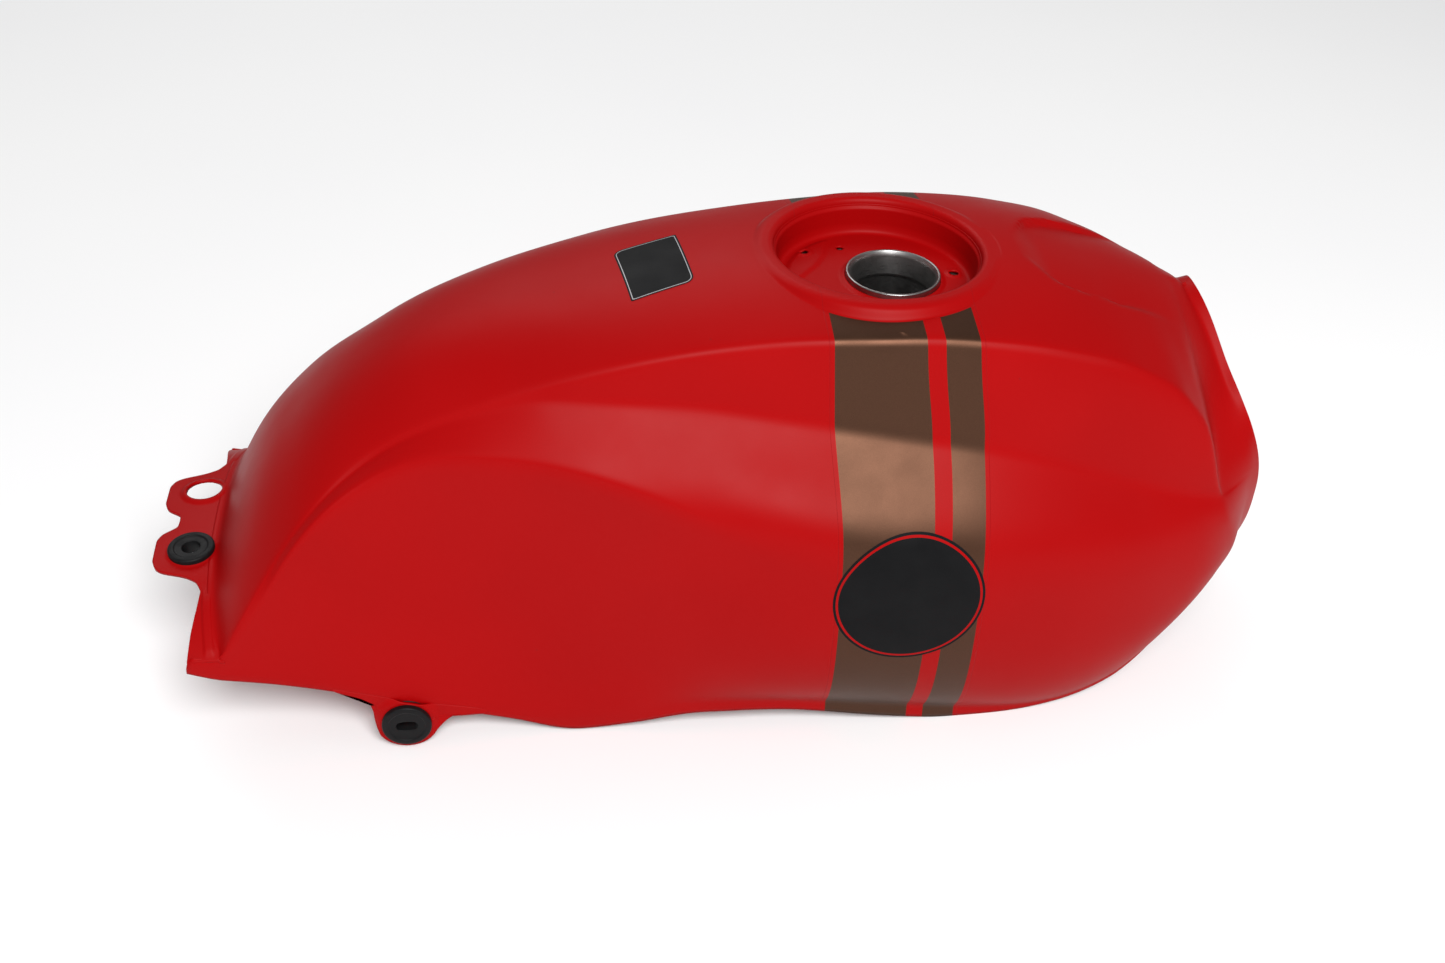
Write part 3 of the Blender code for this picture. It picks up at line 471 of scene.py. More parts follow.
def rear_weights(count):
    weight = np.zeros(count)
    weight[: FLARE_ROWS + 9] = 0.5
    return weight


def plate_height(y):
    return PLATE_CENTRE_Z - PLATE_EDGE_DROP * (np.abs(y) / PLATE_HALF_WIDTH) ** 3.2


def grid_mesh(name, grid, flip=False):
    """A sheet of quads through a grid of points in millimetres."""
    rows, columns = grid.shape[:2]
    points = grid.reshape(-1, 3) * MM + np.array(FILLER)
    index = np.arange(rows * columns).reshape(rows, columns)
    corners = [index[:-1, :-1], index[:-1, 1:], index[1:, 1:], index[1:, :-1]]
    quads = np.stack(corners, axis=-1).reshape(-1, 4)
    if flip:
        quads = quads[:, ::-1]
    data = bpy.data.meshes.new(name)
    data.from_pydata(points.tolist(), [], quads.tolist())
    return data


def piece(name, data, slot, *stands_for, angle=35):
    """A finished piece on the tank's body."""
    obj = bpy.data.objects.new(name, data)
    bpy.context.scene.collection.objects.link(obj)
    data.shade_smooth()
    data.set_sharp_from_angle(angle=math.radians(angle))
    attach(obj, BODY)
    if stands_for:
        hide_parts(*stands_for)
    return obj


FILLER_PLACE = Matrix.Translation(FILLER) @ Matrix.Rotation(FILLER_LEAN, 4, "Y")


def punch(mesh, place, radius, reach=0.006):
    """Opens a round hole: drops the faces inside it and pulls the edge left onto the circle."""
    back = place.inverted()
    inside = [f for f in mesh.faces if (back @ f.calc_center_median()).xy.length < radius]
    bmesh.ops.delete(mesh, geom=inside, context="FACES")
    border = {vert for edge in mesh.edges if edge.is_boundary for vert in edge.verts}
    rim = [vert for vert in border if (back @ vert.co).xy.length < radius + reach]
    for vert in rim:
        local = back @ vert.co
        flat = local.xy.normalized() * radius
        vert.co = place @ Vector((flat.x, flat.y, local.z))
    return rim


def with_holes(data, holes, reach):
    """Opens round holes, each a (place, radius), in a sheet, and turns its faces up."""
    mesh = bmesh.new()
    mesh.from_mesh(data)
    for place, radius in holes:
        punch(mesh, place, radius * MM, reach)
    face_up(mesh)
    mesh.to_mesh(data)
    mesh.free()


def collar(mesh, rim, deck):
    """Carries the shell from the hole's edge up over the ring and down to the lip of the recess."""
    back = FILLER_PLACE.inverted()
    turn = {vert: math.atan2((back @ vert.co).y, (back @ vert.co).x) for vert in rim}
    loop = sorted(rim, key=turn.get)
    for vert in loop:
        vert.co = FILLER_PLACE @ (polar(COLLAR_R, turn[vert], deck(COLLAR_R, turn[vert])) * MM)
    radii = list(np.linspace(COLLAR_R - 0.8, 68, 6)) + list(np.linspace(67.4, RING_INNER_R, 22))
    profile = [(radius, None) for radius in radii] + list(LIP)
    previous = loop
    for radius, lip in profile:
        inner = []
        for vert in loop:
            height = ring_height(radius, deck(radius, turn[vert])) if lip is None else lip
            inner.append(mesh.verts.new(FILLER_PLACE @ (polar(radius, turn[vert], height) * MM)))
        for i in range(len(loop)):
            mesh.faces.new((previous[i], previous[i - 1], inner[i - 1], inner[i]))
        previous = inner


def polar(radius, angle, height):
    return Vector((radius * math.cos(angle), radius * math.sin(angle), height))


def ring_height(radius, deck):
    """Height of the ring where it rises out of the deck: a crowned top, a rounded side and a fillet."""
    shoulder = max(radius - 58.0, 0.0)
    side = max(shoulder - 4.0, 0.0)
    top = -0.07 * shoulder**2 - 0.3 * side**2
    blend = 4.5 * min(max(-deck / 8.0, 0.1), 1.0)
    near = max(blend - abs(top - deck), 0.0) / blend
    raised = max(top, deck) + near * near * blend / 4
    return min(raised, 0.0) if radius < 62 else raised


def deck_reader(mesh):
    """Reads the deck's height under the filler's frame at a radius and an angle, in millimetres."""
    tree = BVHTree.FromBMesh(mesh)
    back = FILLER_PLACE.inverted()
    down = (FILLER_PLACE.to_3x3() @ Vector((0, 0, -1))).normalized()

    def read(radius, angle):
        start = FILLER_PLACE @ (Vector((radius * math.cos(angle), radius * math.sin(angle), 30)) * MM)
        hit = tree.ray_cast(start, down)[0]
        return (back @ hit).z / MM

    return read


def tank_shell():
    """The two pressed halves as one skin: their weld along the crest is dressed flush and painted over."""
    grid = shell_grid()
    mesh = bmesh.new()
    data = grid_mesh("tank_shell", grid)
    mesh.from_mesh(data)
    read = deck_reader(mesh)
    rim = punch(mesh, FILLER_PLACE, COLLAR_R * MM)
    collar(mesh, rim, read)
    bmesh.ops.recalc_face_normals(mesh, faces=mesh.faces)
    face_up(mesh)
    mesh.to_mesh(data)
    tree = BVHTree.FromBMesh(mesh)
    mesh.free()
    shell = piece("tank_shell", data, "paint", "outer_skin_left", "outer_skin_right")
    sheet_metal(shell, SHEET)
    return shell, tree


def rounded(corners, closed=False, steps=5):
    """Profile points from (radius, height, fillet) corners. Each fillet cuts its corner that far back."""
    points = []
    for i, (radius, height, fillet) in enumerate(corners):
        here = np.array([radius, height], float)
        if fillet == 0 or (not closed and i in (0, len(corners) - 1)):
            points.append(here)
            continue
        before = np.array(corners[i - 1][:2]) - here
        after = np.array(corners[(i + 1) % len(corners)][:2]) - here
        start = here + before / np.linalg.norm(before) * fillet
        end = here + after / np.linalg.norm(after) * fillet
        for t in np.linspace(0, 1, steps):
            points.append((1 - t) ** 2 * start + 2 * t * (1 - t) * here + t * t * end)
    return points


def ring(radius, height, count, slot=0.0, centre=0.0):
    """A closed ring of points: a circle, or one drawn out along x into a slot."""
    angle = np.linspace(0, 2 * math.pi, count, endpoint=False)
    x = centre + radius * np.cos(angle) + slot * np.clip(1.6 * np.cos(angle), -1, 1)
    return np.stack([x, radius * np.sin(angle), np.full(count, float(height))], axis=1)


def rings_mesh(name, rings, place, closed=False):
    """A skin over closed rings of points in millimetres, put in its place."""
    rings = np.array(rings)
    index = np.arange(rings.shape[0] * rings.shape[1]).reshape(rings.shape[:2])
    ahead = np.roll(index, -1, axis=0)
    if not closed:
        index, ahead = index[:-1], ahead[:-1]
    corners = [index, ahead, np.roll(ahead, -1, axis=1), np.roll(index, -1, axis=1)]
    data = bpy.data.meshes.new(name)
    quads = np.stack(corners, axis=-1).reshape(-1, 4)
    data.from_pydata((rings.reshape(-1, 3) * MM).tolist(), [], quads.tolist())
    data.transform(place)
    return data


def outward(data):
    """Turns a closed skin's faces outward."""
    mesh = bmesh.new()
    mesh.from_mesh(data)
    bmesh.ops.recalc_face_normals(mesh, faces=mesh.faces)
    mesh.to_mesh(data)
    mesh.free()
    return data


def face_up(mesh):
    if sum(face.normal.z * face.calc_area() for face in mesh.faces) < 0:
        bmesh.ops.reverse_faces(mesh, faces=mesh.faces)


def sheet_metal(obj, thickness, offset=-1.0):
    sheet = obj.modifiers.new("Sheet", "SOLIDIFY")
    sheet.thickness = thickness * MM
    sheet.offset = offset


def screw_places():
    turns = [math.radians(angle) for angle in SCREW_ANGLES]
    return [(SCREW_CIRCLE_R * math.cos(turn), SCREW_CIRCLE_R * math.sin(turn)) for turn in turns]


def floor_height(x, y):
    """The recess floor: a pad behind an S-shaped step, a boss at each screw and a weld at the neck."""
    step = np.interp(y, (-12, 4.3, 14.4, 25.8, 39.6, 50), (-50, -35.5, -27.4, -21.8, -18.6, -17))
    height = -RECESS_DEPTH + 1.1 * ease(1.4, -1.4, x - step)
    for hole_x, hole_y in screw_places():
        height = height + 0.55 * ease(5.0, 3.2, np.hypot(x - hole_x, y - hole_y))
    return height + 1.0 * ease(27.5, 24.8, np.hypot(x - NECK_AHEAD, y))


def recess_cup():
    """The filler recess under the ring's lip: a bead, a wall and a pressed floor."""
    corners = [
        (52.1, -3.0, 0), (52.1, -4.0, 0.5), (50.9, -5.3, 0.8), (50.7, -14.5, 1.5),
        (49.6, -RECESS_DEPTH, 2.2), (RECESS_FLOOR_R, -RECESS_DEPTH, 0),
    ]
    rings = [ring(radius, height, 240) for radius, height in rounded(corners)]
    for share in np.linspace(0, 1, 40)[1:]:
        radius = RECESS_FLOOR_R + (NECK_R + 0.2 - RECESS_FLOOR_R) * share
        points = ring(radius, 0, 240, centre=NECK_AHEAD * share)
        points[:, 2] = floor_height(points[:, 0], points[:, 1])
        edge = ease(0, 0.12, share)
        points[:, 2] = -RECESS_DEPTH + (points[:, 2] + RECESS_DEPTH) * edge
        rings.append(points)
    data = rings_mesh("filler_recess", rings, FILLER_PLACE)
    holes = []
    for (x, y), radius in [(place, SCREW_HOLE_R) for place in screw_places()] + [(DRAIN_AT, DRAIN_HOLE_R)]:
        holes.append((FILLER_PLACE @ Matrix.Translation(Vector((x, y, 0)) * MM), radius))
    with_holes(data, holes, 0.0016)
    cup = piece("filler_recess", data, "paint", "filler_recess_cup")
    sheet_metal(cup, SHEET)
    return cup


def neck():
    """The bare neck: a chamfered mouth that narrows to a turned-in edge over the open bore."""
    corners = [
        (NECK_R, NECK_BOTTOM, 0), (NECK_R, NECK_TOP, 0.7), (23.0, NECK_TOP, 0.5), (22.0, -17.4, 0.8),
        (20.4, -27.6, 0.4), (20.6, -28.6, 0), (22.2, -29.4, 0), (22.2, NECK_BOTTOM, 0),
    ]
    rings = [ring(radius, height, 160) for radius, height in rounded(corners, closed=True)]
    place = FILLER_PLACE @ Matrix.Translation(Vector((NECK_AHEAD, 0, 0)) * MM)
    data = outward(rings_mesh("filler_neck_turned", rings, place, closed=True))
    return piece("filler_neck_turned", data, "bare_steel", "filler_neck")


def plate_edge(y):
    """The plate's rear edge, with its corners eased."""
    widths = np.array([point[0] for point in PLATE_REAR], float)
    edges = np.array([point[1] for point in PLATE_REAR], float)
    offsets = np.linspace(-2.4, 2.4, 9)
    weights = np.exp(-((offsets / 1.3) ** 2))
    reads = [np.interp(np.abs(np.abs(y) + offset), widths, edges) for offset in offsets]
    return np.average(reads, axis=0, weights=weights)


def skin_end(y):
    """Where the rear edge of the skins lands on the plate."""
    return -346.4 + 5.4 * (np.abs(y) / 92) ** 2


def rear_plate():
    """The rear mounting plate: two eared holes with pressed-up lips, and a ridge along the skin's edge."""
    y = np.linspace(-PLATE_SIDE, PLATE_SIDE, 220)
    end = skin_end(y)
    start, stop = plate_edge(y), end + 2.0 + 5.0 * (1 - ease(84, 91, np.abs(y)))
    rows = []
    for share in np.linspace(0, 1, 56):
        x = start + (stop - start) * share
        height = plate_height(y)
        for side in (-1, 1):
            away = np.hypot(x - REAR_HOLE_AT[0], y - side * REAR_HOLE_AT[1])
            height = height + 1.5 * ease(13.6, 10.0, away)
        ridge = ease(-8.0, -6.2, x - end) * ease(-1.6, -3.4, x - end)
        height = height + 0.9 * ridge * ease(52, 64, np.abs(y)) * ease(92, 88, np.abs(y))
        height = height - 1.6 * ease(-1.0, 2.0, x - end)
        rows.append(np.stack([x, y, height], axis=1))
    data = grid_mesh("rear_plate", np.array(rows))
    centres = [at(REAR_HOLE_AT[0], side * REAR_HOLE_AT[1], PLATE_CENTRE_Z) for side in (-1, 1)]
    with_holes(data, [(Matrix.Translation(centre), REAR_HOLE_R) for centre in centres], 0.003)
    plate = piece("rear_plate", data, "paint", "rear_mount_bracket")
    sheet_metal(plate, PLATE_SHEET)
    return plate


def grommet(name, stands_for, place, groove_r, rim_r, bore_r, slot):
    """A rubber grommet: two rounded flanges with a groove between, and a recess round its opening."""
    half = [
        (groove_r, 1.15, 0), (rim_r, 1.25, 0.5), (rim_r, 4.4, 1.1), (rim_r - 3.0, 4.6, 0.5),
        (rim_r - 3.6, 4.0, 0.35), (bore_r + 1.6, 4.0, 0.5), (bore_r, 3.9, 0.3),
    ]
    corners = half + [(radius, -height, fillet) for radius, height, fillet in half[::-1]]
    rings = []
    for radius, height in rounded(corners, closed=True):
        drawn = slot * ease(bore_r + 4.5, bore_r + 0.6, radius)
        rings.append(ring(radius, height, 128, slot=drawn))
    data = outward(rings_mesh(name, rings, place, closed=True))
    return piece(name, data, "grommet_rubber", stands_for)


def rear_grommet():
    inner, outer = REAR_HOLE_AT[1] - 11, REAR_HOLE_AT[1] + 11
    drop = plate_height(inner) - plate_height(outer)
    middle = (plate_height(inner) + plate_height(outer)) / 2
    centre = at(REAR_HOLE_AT[0], -REAR_HOLE_AT[1], middle - PLATE_SHEET / 2)
    place = Matrix.Translation(centre) @ Matrix.Rotation(math.atan(drop / (outer - inner)), 4, "X")
    return grommet("rear_grommet", "rear_grommet_right", place, 9.0, 12.0, 4.7, 0.0)


def side_place(side):
    centre = at(SIDE_HOLE_AT[0], side * SIDE_TAB_Y, SIDE_HOLE_AT[1])
    return Matrix.Translation(centre) @ Matrix.Rotation(math.radians(90), 4, "X")


def eased_outline(points, passes=3):
    """A closed outline with its corners cut again and again until it's smooth."""
    points = np.array(points, float)
    for _ in range(passes):
        ahead = np.roll(points, -1, axis=0)
        cuts = [0.75 * points + 0.25 * ahead, 0.25 * points + 0.75 * ahead]
        points = np.stack(cuts, axis=1).reshape(-1, 2)
    return points


def side_tab(side, name):
    """A tab with a round eye, joggled at its top to lie on the seam flange."""
    x0, z0 = SIDE_HOLE_AT
    foot = FILLER.z / MM + z0
    turns = np.radians(np.linspace(205, 335, 14))
    arc = [(foot * math.cos(a), foot * math.sin(a)) for a in turns]
    rise = [(-293, -187.8), (-287, -192), (-280, -195), (-274.6, -197.8), (-271.6, -202)]
    fall = [(-233, -214.5), (-228, -212.6), (-220, -213), (-212, -214), (-212, -211.4)]
    fall += [(-230, -206.6), (-250, -202.2), (-272, -194.6)]
    outline = [(x - x0, z - z0) for x, z in rise] + arc + [(x - x0, z - z0) for x, z in fall]
    outline = eased_outline(outline)
    angle = np.arctan2(outline[:, 1], outline[:, 0])
    eye = SIDE_HOLE_R * np.stack([np.cos(angle), np.sin(angle)], axis=1)
    rings = []
    for share in np.linspace(0, 1, 14):
        points = outline + (eye - outline) * share
        away = ease(13.0, 17.2, np.hypot(points[:, 0], points[:, 1])) * ease(-9.0, 2.0, points[:, 1])
        rings.append(np.stack([points[:, 0], points[:, 1], TAB_JOGGLE * side * away], axis=1))
    data = rings_mesh(name, rings, side_place(side))
    tab = piece(name, data, "paint", "side_tab_right" if side < 0 else "side_tab_left")
    sheet_metal(tab, SIDE_TAB_SHEET, 0.0)
    return tab


def laid_on(surface, points, direction, lift=FILM):
    """The points dropped onto the shell along a direction, and lifted a little off it."""
    laid = []
    for point in points:
        start = at(*point) - direction * 0.2
        place, normal, _, _ = surface.ray_cast(start, direction)
        if normal.dot(direction) > 0:
            normal = -normal
        laid.append(np.array((place + normal * lift * MM - FILLER) / MM))
    return np.array(laid)


def patch(name, rings, inlay):
    """A decal from its outermost ring in. The strip at index inlay takes the second material."""
    data = rings_mesh(name, rings, Matrix.Translation(FILLER))
    count = len(rings[0])
    mesh = bmesh.new()
    mesh.from_mesh(data)
    mesh.verts.ensure_lookup_table()
    mesh.faces.ensure_lookup_table()
    for face in mesh.faces[inlay * count : (inlay + 1) * count]:
        face.material_index = 1
    mesh.faces.new(mesh.verts[-count:])
    bmesh.ops.recalc_face_normals(mesh, faces=mesh.faces)
    mesh.to_mesh(data)
    mesh.free()
    return data


def roundel(surface, side, name):
    """A plain black disc on the flank, with a thin red ring inside its edge."""
    x0, z0 = ROUNDEL_AT
    rings = []
    for radius in [ROUNDEL_R, ROUNDEL_R - 1.3, ROUNDEL_R - 2.5] + list(np.linspace(ROUNDEL_R - 4, 0.6, 22)):
        flat = ring(radius, 0, 120)
        points = [(x0 + x, side * 220, z0 + z) for x, z, _ in flat]
        rings.append(laid_on(surface, points, Vector((0, -side, 0))))
    data = patch(name, rings, 1)
    if (data.polygons[0].normal.y > 0) != (side > 0):
        data.flip_normals()
    return piece(name, data, "plastic")


def label(surface):
    """A plain black plate decal on the deck, with a thin pale border."""
    corners = np.array(LABEL_CORNERS, float)
    length = np.linalg.norm(corners[1] + corners[2] - corners[0] - corners[3]) / 2
    width = np.linalg.norm(corners[0] + corners[1] - corners[2] - corners[3]) / 2
    rings = []
    for inset in [0, 0.9, 1.3] + list(np.linspace(2.2, min(length, width) / 2 - 0.4, 14)):
        flat = label_outline(length / 2 - inset, width / 2 - inset, max(5.0 - inset, 0.6))
        u, v = flat[:, 0] / length + 0.5, flat[:, 1] / width + 0.5
        far = corners[0] + (corners[1] - corners[0]) * u[:, None]
        near = corners[3] + (corners[2] - corners[3]) * u[:, None]
        plan = near + (far - near) * v[:, None]
        rings.append(laid_on(surface, [(x, y, 100) for x, y in plan], Vector((0, 0, -1))))
    data = patch("deck_label", rings, 1)
    if data.polygons[0].normal.z < 0:
        data.flip_normals()
    return piece("deck_label", data, "plastic")


def label_outline(half_x, half_y, corner):
    """A rectangle with two rounded corners and two nearly square ones, at even steps along its edge."""
    points = []
    for sign_x, sign_y, start in ((1, 1, 0), (-1, 1, 90), (-1, -1, 180), (1, -1, 270)):
        radius = corner if sign_x != sign_y else 0.4
        for angle in np.radians(np.linspace(start, start + 90, 8)):
            x = sign_x * (half_x - radius) + radius * math.cos(angle)
            points.append((x, sign_y * (half_y - radius) + radius * math.sin(angle)))
    loop = np.array(points + points[:1])
    lengths = np.concatenate([[0], np.cumsum(np.linalg.norm(np.diff(loop, axis=0), axis=1))])
    places = np.linspace(0, lengths[-1], 140, endpoint=False)
    return np.stack([np.interp(places, lengths, loop[:, axis]) for axis in range(2)], axis=1)


# ---- materials ----
RED_PAINT = (0.325, 0.0012, 0.0017)
STRIPE = (0.082, 0.039, 0.024)
FOOT_R = 0.0662  # the stripes stop at the foot of the filler's ring, in metres
BLACK_RUBBER = (0.006, 0.006, 0.0065)
SATIN = 0.07  # the specular level of the paint and the decals


class Shader:
    """A material's node tree, with short ways to add what these finishes repeat."""

    def __init__(self, name, colour, roughness, metallic=0.0):
        self.material = bpy.data.materials.new(name)
        self.material.use_nodes = True
        self.tree = self.material.node_tree
        self.surface = self.tree.nodes["Principled BSDF"]
        self.surface.inputs["Base Color"].default_value = (*colour, 1)
        self.surface.inputs["Roughness"].default_value = roughness
        self.surface.inputs["Metallic"].default_value = metallic
        self.place = self.tree.nodes.new("ShaderNodeTexCoord").outputs["Object"]

    def link(self, output, target):
        self.tree.links.new(output, target)

    def feed(self, name, output):
        self.link(output, self.surface.inputs[name])

    def math(self, operation, a, b=0.0, c=0.0, clamp=False):
        node = self.tree.nodes.new("ShaderNodeMath")
        node.operation = operation
        node.use_clamp = clamp
        for socket, value in zip(node.inputs, (a, b, c)):
            if isinstance(value, (int, float)):
                socket.default_value = value
            else:
                self.link(value, socket)
        return node.outputs[0]

    def split(self, vector):
        node = self.tree.nodes.new("ShaderNodeSeparateXYZ")
        self.link(vector, node.inputs[0])
        return node.outputs

    def noise(self, scale, detail=3.0, roughness=0.5, vector=None):
        node = self.tree.nodes.new("ShaderNodeTexNoise")
        node.inputs["Scale"].default_value = scale
        node.inputs["Detail"].default_value = detail
        node.inputs["Roughness"].default_value = roughness
        self.link(vector or self.place, node.inputs["Vector"])
        return node.outputs["Fac"]

    def specks(self, scale, size):
        """Sparse round specks: 1 inside a speck, 0 outside."""
        node = self.tree.nodes.new("ShaderNodeTexVoronoi")
        node.inputs["Scale"].default_value = scale
        node.inputs["Randomness"].default_value = 1.0
        self.link(self.place, node.inputs["Vector"])
        near = self.math("LESS_THAN", node.outputs["Distance"], size)
        red = self.tree.nodes.new("ShaderNodeSeparateColor")
        self.link(node.outputs["Color"], red.inputs[0])
        return self.math("MULTIPLY", near, self.math("GREATER_THAN", red.outputs[0], 0.72))

    def ramp(self, value, low, high, start=0.0, end=1.0):
        node = self.tree.nodes.new("ShaderNodeMapRange")
        node.inputs["From Min"].default_value = low
        node.inputs["From Max"].default_value = high
        node.inputs["To Min"].default_value = start
        node.inputs["To Max"].default_value = end
        self.link(value, node.inputs["Value"])
        return node.outputs["Result"]

    def mix(self, share, a, b):
        node = self.tree.nodes.new("ShaderNodeMix")
        node.data_type = "RGBA"
        self.link(share, node.inputs["Factor"])
        for socket, value in ((node.inputs["A"], a), (node.inputs["B"], b)):
            if isinstance(value, tuple):
                socket.default_value = (*value, 1)
            else:
                self.link(value, socket)
        return node.outputs["Result"]

    def blend(self, share, a, b):
        """a where share is 0, b where it is 1."""
        kept = self.math("MULTIPLY", self.math("SUBTRACT", 1.0, share), a)
        return self.math("ADD", self.math("MULTIPLY", share, b), kept)

    def bump(self, height, distance, strength=1.0, under=None):
        node = self.tree.nodes.new("ShaderNodeBump")
        node.inputs["Distance"].default_value = distance
        node.inputs["Strength"].default_value = strength
        self.link(height, node.inputs["Height"])
        if under:
            self.link(under, node.inputs["Normal"])
        return node.outputs["Normal"]

    def band(self, value, low, high, soft=0.00012):
        """1 between two values of a coordinate in metres, with a crisp edge."""
        rise = self.ramp(value, low - soft, low + soft)
        fall = self.ramp(value, high - soft, high + soft, 1.0, 0.0)
        return self.math("MULTIPLY", rise, fall, clamp=True)


def painted_base(shader):
    """Satin red paint: faint orange peel, slow drifts of shade and gloss, a few specks of dust."""
    drift = shader.noise(9.0, 2.0)
    dust = shader.specks(55.0, 0.035)
    deep = tuple(0.93 * c for c in RED_PAINT)
    colour = shader.mix(shader.ramp(drift, 0.35, 0.65), RED_PAINT, deep)
    colour = shader.mix(shader.math("MULTIPLY", dust, 0.45), colour, (0.16, 0.01, 0.01))
    grain = shader.noise(2600.0, 2.0)
    rough = shader.ramp(shader.noise(30.0, 4.0), 0.3, 0.7, 0.40, 0.47)
    return colour, rough, grain


def finish_paint(shader, colour, rough, grain, film=None):
    shader.feed("Base Color", colour)
    shader.feed("Roughness", rough)
    fine = shader.bump(grain, 0.00002, 0.35)
    peel = shader.bump(shader.noise(420.0, 2.0), 0.00006, 0.18, fine)
    normal = shader.bump(film, 0.0001, 0.8, peel) if film else peel
    shader.feed("Normal", normal)
    shader.surface.inputs["Specular IOR Level"].default_value = SATIN
    return shader.material


def plain_paint():
    shader = Shader("red_paint", RED_PAINT, 0.42)
    return finish_paint(shader, *painted_base(shader))


def striped_paint():
    """The shell's paint, with two bronze stripes across the tank in planes square to its length."""
    shader = Shader("red_paint_striped", RED_PAINT, 0.42)
    colour, rough, grain = painted_base(shader)
    x, y, z = shader.split(shader.place)
    fore = shader.math("SUBTRACT", x, FILLER.x)
    # the stripes swing a little forward over the ledge, and back towards the seam
    height = shader.math("DIVIDE", shader.math("SUBTRACT", z, FILLER.z - 0.062), 0.03)
    swing = shader.math("EXPONENT", shader.math("MULTIPLY", shader.math("MULTIPLY", height, height), -1.0))
    swing = shader.math("MULTIPLY", swing, shader.ramp(fore, -0.02, 0.01, 0.0, 0.0036))
    back = shader.ramp(z, FILLER.z - 0.21, FILLER.z - 0.09, 0.0018, 0.0)
    along_x = shader.math("ADD", shader.math("SUBTRACT", fore, swing), back)
    broad = shader.band(along_x, -0.0345, 0.0092)
    narrow = shader.band(along_x, 0.0180, 0.0347)
    reach = shader.math("ADD", shader.math("MULTIPLY", fore, fore), shader.math("MULTIPLY", y, y))
    outside = shader.ramp(shader.math("SQRT", reach), FOOT_R - 0.0001, FOOT_R + 0.0001)
    stripes = shader.math("MULTIPLY", shader.math("MAXIMUM", broad, narrow), outside)
    film = shader.math("MULTIPLY", shader.band(along_x, -0.0368, 0.0369), outside)
    rear_edge = shader.band(along_x, -0.0370, -0.0367, 0.00005)
    edge = shader.math("ADD", rear_edge, shader.band(along_x, 0.0368, 0.0371, 0.00005))
    colour = shader.mix(shader.math("MULTIPLY", edge, 0.5), colour, (0.22, 0.005, 0.006))
    flake = shader.ramp(shader.noise(3800.0, 1.0), 0.3, 0.7, 0.86, 1.12)
    bronze = shader.tree.nodes.new("ShaderNodeVectorMath")
    bronze.operation = "SCALE"
    bronze.inputs[0].default_value = STRIPE
    shader.link(flake, bronze.inputs["Scale"])
    colour = shader.mix(stripes, colour, bronze.outputs[0])
    rough = shader.blend(stripes, rough, shader.ramp(shader.noise(60.0, 3.0), 0.3, 0.7, 0.42, 0.47))
    shader.feed("Metallic", shader.math("MULTIPLY", stripes, 0.85))
    return finish_paint(shader, colour, rough, grain, film)


def decal(name, colour, faded):
    """Printed vinyl: a faint mottle in its shade and gloss, and a fine satin grain."""
    shader = Shader(name, colour, 0.45)
    mottle = shader.ramp(shader.noise(70.0, 3.0), 0.3, 0.7)
    shader.feed("Base Color", shader.mix(mottle, colour, faded))
    shader.feed("Roughness", shader.ramp(mottle, 0.0, 1.0, 0.42, 0.54))
    shader.feed("Normal", shader.bump(shader.noise(1500.0, 2.0), 0.00003, 0.4))
    shader.surface.inputs["Specular IOR Level"].default_value = SATIN
    return shader.material


def decal_pale():
    return decal("decal_pale", (0.45, 0.45, 0.46), (0.36, 0.36, 0.37))


def rubber():
    """Moulded rubber with a dusty bloom and fine pitting."""
    shader = Shader("grommet_rubber", BLACK_RUBBER, 0.55)
    bloom = shader.ramp(shader.noise(180.0, 4.0), 0.45, 0.75)
    colour = shader.mix(bloom, BLACK_RUBBER, (0.009, 0.0093, 0.0096))
    shader.feed("Base Color", colour)
    shader.feed("Roughness", shader.ramp(bloom, 0.0, 1.0, 0.42, 0.62))
    shader.surface.inputs["Specular IOR Level"].default_value = 0.13
    pits = shader.noise(2200.0, 3.0)
    shader.feed("Normal", shader.bump(pits, 0.00005, 0.5))
    return shader.material


def turned_steel():
    """Bare steel with turning marks round the neck's axis, and slow blotches in its tone."""
    shader = Shader("turned_steel", (0.34, 0.335, 0.33), 0.3, 1.0)
    x, y, z = shader.split(shader.place)
    out_x = shader.math("SUBTRACT", x, FILLER.x + NECK_AHEAD * MM)
    squares = shader.math("ADD", shader.math("MULTIPLY", out_x, out_x), shader.math("MULTIPLY", y, y))
    radius = shader.math("SQRT", squares)
    join = shader.tree.nodes.new("ShaderNodeCombineXYZ")
    shader.link(shader.math("MULTIPLY", radius, 6.0), join.inputs[0])
    shader.link(shader.math("MULTIPLY", z, 6.0), join.inputs[1])
    shader.link(shader.math("MULTIPLY", shader.math("ARCTAN2", y, out_x), 0.004), join.inputs[2])
    marks = shader.noise(700.0, 5.0, 0.7, join.outputs[0])
    blotch = shader.noise(90.0, 4.0)
    colour = shader.mix(shader.ramp(blotch, 0.35, 0.7), (0.36, 0.355, 0.35), (0.22, 0.215, 0.21))
    shader.feed("Base Color", colour)
    shader.feed("Roughness", shader.ramp(marks, 0.3, 0.7, 0.24, 0.46))
    shader.feed("Normal", shader.bump(marks, 0.00004, 0.5))
    return shader.material


def zinc():
    shader = Shader("zinc_plating", (0.55, 0.53, 0.46), 0.38, 1.0)
    shade = shader.ramp(shader.noise(140.0, 4.0), 0.3, 0.7)
    shader.feed("Base Color", shader.mix(shade, (0.58, 0.56, 0.48), (0.46, 0.45, 0.42)))
    shader.feed("Roughness", shader.ramp(shader.noise(420.0, 4.0), 0.3, 0.7, 0.3, 0.5))
    shader.feed("Normal", shader.bump(shader.noise(900.0, 3.0), 0.00003, 0.4))
    return shader.material


